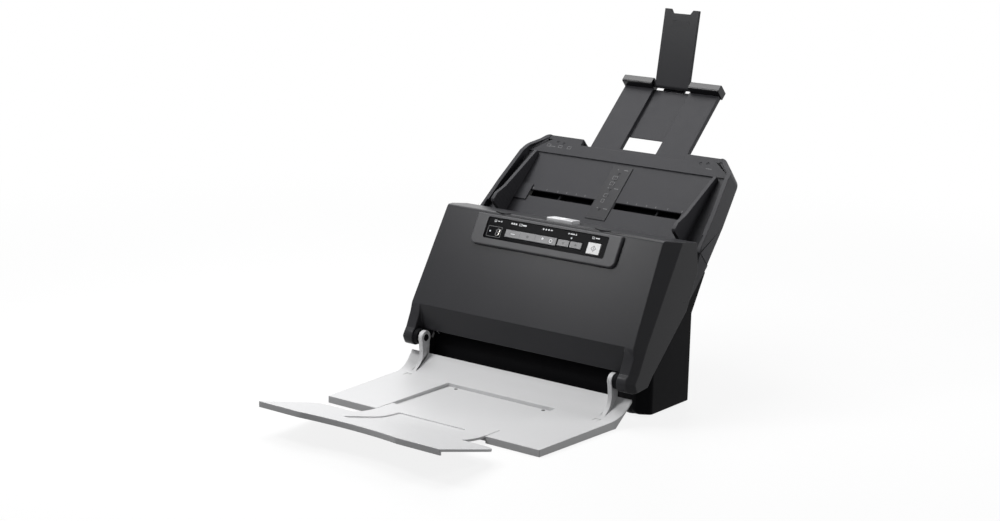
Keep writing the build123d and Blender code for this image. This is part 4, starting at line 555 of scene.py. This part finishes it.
# a square stood on its corner with an upright stroke
startSign = {"x": 58.5, "s": 86.7, "reach": 2.7, "line": 0.55, "stroke": 1.1}
signs = Signs(keyLift)
root = 2 ** 0.5
offset = startSign["reach"] / root
for turn in (45, 135, 225, 315):
    x = startSign["x"] + offset * cos(radians(turn))
    s = startSign["s"] + offset * sin(radians(turn))
    signs.bar(x, s, startSign["line"], startSign["reach"] * root + startSign["line"], turn)
signs.bar(startSign["x"], startSign["s"], startSign["line"], startSign["reach"] * startSign["stroke"])
fitPiece(signs.bm, "start_sign", "start_key", "printGrey", faceFrame)
print("console drawn")

# paper signs on the strip between the guide slots, with arrows and dashes between them
stripMarks = {
    "lift": 0.82, "sheets": ((33.5, 5.76), (26.0, 5.04), (10.5, 4.32), (3.5, 3.6)), "sheetX": -2.5,
    "sheetHeight": 4.4, "line": 0.4, "ticks": (44.0, 20.0, -6.0), "dash": (5.0, 0.7), "dashX": 5.5,
    "arrowX": -4.0, "arrow": 0.9}
signs = Signs(stripMarks["lift"])
for v, width in stripMarks["sheets"]:
    signs.sheet(stripMarks["sheetX"], v, width, stripMarks["sheetHeight"], stripMarks["line"])
for v in stripMarks["ticks"]:
    signs.bar(stripMarks["dashX"], v, *stripMarks["dash"])
    signs.arrow(stripMarks["arrowX"], v, stripMarks["arrow"], turn=90)
fitPiece(signs.bm, "strip_marks", "base", "printGrey", pathFrame)

# width ticks beside the two slots, and dashes and paper signs on the top band
trayTicks = {
    "lift": 0.01, "x": (26, 37, 49, 60, 74, 91, 102), "v": 6.2, "tick": (0.5, 2.2), "bandLift": 1.51,
    "dash": (96, 60.5, 7.0, 0.5), "sheetX": (-101.0, -86.5, -75.0), "sheet": (61.5, 4.6, 3.4, 0.4)}
signs = Signs(trayTicks["lift"])
for x in trayTicks["x"]:
    signs.bar(-x, trayTicks["v"], *trayTicks["tick"])
    signs.bar(x, trayTicks["v"], *trayTicks["tick"])
signs.lift = trayTicks["bandLift"]
dashX, *dash = trayTicks["dash"]
signs.bar(-dashX, *dash)
signs.bar(dashX, *dash)
for x in trayTicks["sheetX"]:
    signs.sheet(x, *trayTicks["sheet"])
fitPiece(signs.bm, "tray_ticks", "base", "printGrey", pathFrame)

# round ribs across the release tab
tabRibs = {
    "count": 5, "pitch": 2.0, "width": 24.0, "radius": 0.42, "ahead": 31.5, "height": 167.9,
    "up": (13.0, -1.4)}
tabFrame = frameOf((0, baseBack - tabRibs["ahead"], tabRibs["height"]), tabRibs["up"])
bm = bmesh.new()
for k in range(tabRibs["count"]):
    y = (k - (tabRibs["count"] - 1) / 2) * tabRibs["pitch"]
    bmesh.ops.create_cone(bm, cap_ends=True, segments=12, radius1=tabRibs["radius"],
                          radius2=tabRibs["radius"], depth=tabRibs["width"],
                          matrix=Matrix.Translation((0, y, 0)) @ Matrix.Rotation(pi / 2, 4, "Y"))
fitPiece(bm, "tab_ribs", "release", "silverPlastic", tabFrame, True)

# grip bars and two dashes near the notched end of the support
supportGrip = {
    "lean": radians(80), "root": (0, 164.3, -7.0), "lift": 3.48, "first": 62.5, "pitch": 2.1, "count": 4,
    "bar": (22.0, 0.8), "thick": 0.25, "dash": (15.5, 66.0, 3.4, 0.5), "dashThick": 0.06}
flipOrigin = pathFrame @ (Vector(supportGrip["root"]) * mm) / mm
flipFrame = frameOf(flipOrigin, (cos(supportGrip["lean"]), sin(supportGrip["lean"])))
signs = Signs(supportGrip["lift"], supportGrip["thick"])
for k in range(supportGrip["count"]):
    signs.bar(0, supportGrip["first"] + supportGrip["pitch"] * k, *supportGrip["bar"])
signs.thick = supportGrip["dashThick"]
dashX, *dash = supportGrip["dash"]
signs.bar(-dashX, *dash)
signs.bar(dashX, *dash)
fitPiece(signs.bm, "support_grip", "flip_support", "charcoal", flipFrame)

# upright ribs on the inner side of each paper guide, as high as the guide is there
guideRibs = {
    "x": 107.98, "low": -30, "high": 46, "pitch": 4, "thick": 0.24, "line": 0.7, "foot": 1.6,
    "endV": -24, "endHigh": 24.5, "stepV": -10, "stepHigh": 18.5, "topV": 50, "topHigh": 4.0,
    "rise": 14.5 / 60}


def guideHeight(v):
    if v < guideRibs["endV"]:
        return guideRibs["endHigh"]
    if v < guideRibs["stepV"]:
        return guideRibs["stepHigh"]
    return guideRibs["topHigh"] + (guideRibs["topV"] - v) * guideRibs["rise"]


for side, word in ((-1, "left"), (1, "right")):
    bm = bmesh.new()
    for v in range(guideRibs["low"], guideRibs["high"], guideRibs["pitch"]):
        high = guideHeight(v)
        block(bm, (side * guideRibs["x"], v, (high + guideRibs["foot"]) / 2),
              (guideRibs["thick"], guideRibs["line"], high - guideRibs["foot"]))
    fitPiece(bm, word + "_guide_ribs", word + "_guide", "traySurface", pathFrame)
print("feed side drawn")

# dark discs over the two round holes of the output tray: painted shade that stands in for the shade inside
# the holes
holeShade = {"x": 53.0, "ahead": 130.5, "radius": 1.9, "sink": 0.12, "thick": 0.22}
signs = Signs(bodyLines["panTop"] - holeShade["sink"], holeShade["thick"])
for side in (-1, 1):
    signs.disc(side * holeShade["x"], baseBack - holeShade["ahead"], holeShade["radius"])
fitPiece(signs.bm, "tray_hole_shade", "output_tray", "blackRubberAndHoleShade", frameOf((0, 0, 0), (1, 0)))
print("painted hole shade placed")

# pins of the power inlet, with bevelled tips, and contacts of the data port
backFrame = frameOf((0, baseBack, bodyLines["socketHeight"]), (1, 0))
inletPins = {"x": (65.0, 75.0), "y": -9.5, "radius": 1.35, "length": 8.4, "tip": 0.6}
bm = bmesh.new()
for x in inletPins["x"]:
    place = Matrix.Translation((x, inletPins["y"], 0)) @ Matrix.Rotation(pi / 2, 4, "X")
    bmesh.ops.create_cone(bm, cap_ends=True, segments=24, radius1=inletPins["radius"],
                          radius2=inletPins["radius"], depth=inletPins["length"], matrix=place)
tipY = inletPins["y"] + inletPins["length"] / 2
tips = [edge for edge in bm.edges if all(abs(vert.co.y - tipY) < 0.01 for vert in edge.verts)]
bmesh.ops.bevel(bm, geom=tips, offset=inletPins["tip"], affect="EDGES", segments=3, profile=0.5, material=-1)
fitPiece(bm, "inlet_pins", "base", "contactMetal", backFrame, True)

dataContacts = {"x": (18.6, 21.4), "y": -8.6, "z": (-1.62, 1.62), "size": (1.1, 6.6, 0.22)}
bm = bmesh.new()
for x in dataContacts["x"]:
    for z in dataContacts["z"]:
        block(bm, (x, dataContacts["y"], z), dataContacts["size"])
fitPiece(bm, "data_contacts", "base", "contactMetal", backFrame)

# on and off signs of the rocker, whose two halves slope apart
rockerSigns = {
    "lift": 0.02, "thick": 0.06, "onPlace": (-60.0, 0.5, 34.0), "onUp": (2.2, 8.0),
    "line": (0, 0.4, 0.5, 3.0), "offPlace": (-60.0, -0.9, 26.0), "offUp": (0.6, 8.0),
    "ring": (0, 0, 1.3, 0.45)}
backLine = Vector((0, baseBack, 0))
signs = Signs(rockerSigns["lift"], rockerSigns["thick"])
signs.bar(*rockerSigns["line"])
onFrame = frameOf(Vector(rockerSigns["onPlace"]) + backLine, rockerSigns["onUp"], -1)
fitPiece(signs.bm, "rocker_line", "power_rocker", "printWhite", onFrame)
signs = Signs(rockerSigns["lift"], rockerSigns["thick"])
signs.ring(*rockerSigns["ring"])
offFrame = frameOf(Vector(rockerSigns["offPlace"]) + backLine, rockerSigns["offUp"], -1)
fitPiece(signs.bm, "rocker_ring", "power_rocker", "printWhite", offFrame)
print("back drawn")

# stage: a floor that fades to white away from the object, a plain sky and soft lamps
stageLook = {
    "floorSize": 6.0, "fadeStart": 0.35, "fadeEnd": 1.3, "nearShare": 0.86, "bounce": 0.08,
    "floorLow": (0.90, 0.90, 0.90, 1), "floorHigh": (0.93, 0.93, 0.935, 1), "floorRough": 0.45,
    "cloudScale": 1.1, "skyTint": (0.95, 0.97, 1.0, 1), "skyPower": 0.12}
floorFinish = Finish("paleFloor")
seen = floorFinish.seen()
reach = floorFinish.node("ShaderNodeVectorMath", {"operation": "LENGTH"}, {0: floorFinish.place}, "Value")
fade = floorFinish.node("ShaderNodeMapRange", {"interpolation_type": "SMOOTHSTEP"}, {
    "Value": reach, "From Min": stageLook["fadeStart"], "From Max": stageLook["fadeEnd"],
    "To Min": stageLook["nearShare"], "To Max": 1.0})
cloud = floorFinish.noise(stageLook["cloudScale"])
pale = floorFinish.mix(cloud, stageLook["floorLow"], stageLook["floorHigh"])
dim = shade((1, 1, 1), stageLook["bounce"])
floorFinish.set(Base_Color=floorFinish.mix(seen, dim, pale), Roughness=stageLook["floorRough"])
glow = floorFinish.node("ShaderNodeEmission", {}, {})
blend = {0: fade * seen, 1: floorFinish.shaded, 2: glow}
floorFinish.show(floorFinish.node("ShaderNodeMixShader", {}, blend))
bm = bmesh.new()
bmesh.ops.create_grid(bm, x_segments=2, y_segments=2, size=stageLook["floorSize"])
pieceFrom(bm, "floor", floorFinish.material)

world = bpy.data.worlds.new("studio")
world.use_nodes = True
bpy.context.scene.world = world
sky = Bench(world.node_tree, "ShaderNodeOutputWorld")
skyLook = {"Color": stageLook["skyTint"], "Strength": stageLook["skyPower"]}
soft = sky.node("ShaderNodeBackground", {}, skyLook)
white = sky.node("ShaderNodeBackground", {}, {"Color": (1, 1, 1, 1), "Strength": 1.0})
sky.show(sky.node("ShaderNodeMixShader", {}, {0: sky.seen(), 1: soft, 2: white}))

lampPlan = {
    "overhead": {"place": (-0.42, 0.15, 1.30), "aim": (0.0, 0.0, 0.1), "size": 0.7, "watts": 11.5},
    "keyLeft": {"place": (-0.40, -0.40, 0.645), "aim": (0.0, 0.0, 0.17), "size": 0.24, "watts": 3.2},
    "front": {"place": (0.3, -2.0, 0.9), "aim": (0.0, -0.2, 0.05), "size": 1.2, "watts": 0.3},
    "right": {"place": (0.62, 0.42, 0.62), "aim": (0.12, 0.10, 0.24), "size": 0.3, "watts": 2.2},
    "behindLeft": {"place": (-1.2, 1.3, 1.3), "aim": (0.0, 0.1, 0.2), "size": 1.0, "watts": 5.0},
}
for name, plan in lampPlan.items():
    lamp = bpy.data.lights.new(name, "AREA")
    lamp.size = plan["size"]
    lamp.energy = plan["watts"]
    holder = bpy.data.objects.new(name, lamp)
    bpy.context.scene.collection.objects.link(holder)
    holder.visible_camera = False
    holder.location = plan["place"]
    aim = Vector(plan["aim"]) - Vector(plan["place"])
    holder.rotation_euler = aim.to_track_quat("-Z", "Y").to_euler()

# camera, solved on points of the photograph
shot = {
    "yaw": 37.0, "pitch": 12.8195, "roll": 1.3215, "lens": 71.2677, "sensor": 36.0, "distance": 1.934205,
    "target": (0.0, 0.028258, 0.150), "slide": (0.044825, -0.019176)}
yaw, pitch, roll = (radians(shot[angle]) for angle in ("yaw", "pitch", "roll"))
look = Vector((-sin(yaw) * cos(pitch), cos(yaw) * cos(pitch), -sin(pitch)))
level = Vector((cos(yaw), sin(yaw), 0))
climb = Vector((-sin(yaw) * sin(pitch), cos(yaw) * sin(pitch), cos(pitch)))
right = level * cos(roll) + climb * sin(roll)
up = climb * cos(roll) - level * sin(roll)
spot = Vector(shot["target"]) - look * shot["distance"] - right * shot["slide"][0] + up * shot["slide"][1]
cameraData = bpy.data.cameras.new("photoCamera")
cameraData.lens = shot["lens"]
cameraData.sensor_width = shot["sensor"]
cameraData.sensor_fit = "HORIZONTAL"
camera = bpy.data.objects.new("photoCamera", cameraData)
bpy.context.scene.collection.objects.link(camera)
camera.matrix_world = Matrix.Translation(spot) @ Matrix((right, up, -look)).transposed().to_4x4()
bpy.context.scene.camera = camera
bpy.context.scene.view_settings.view_transform = "Standard"
print("stage set")
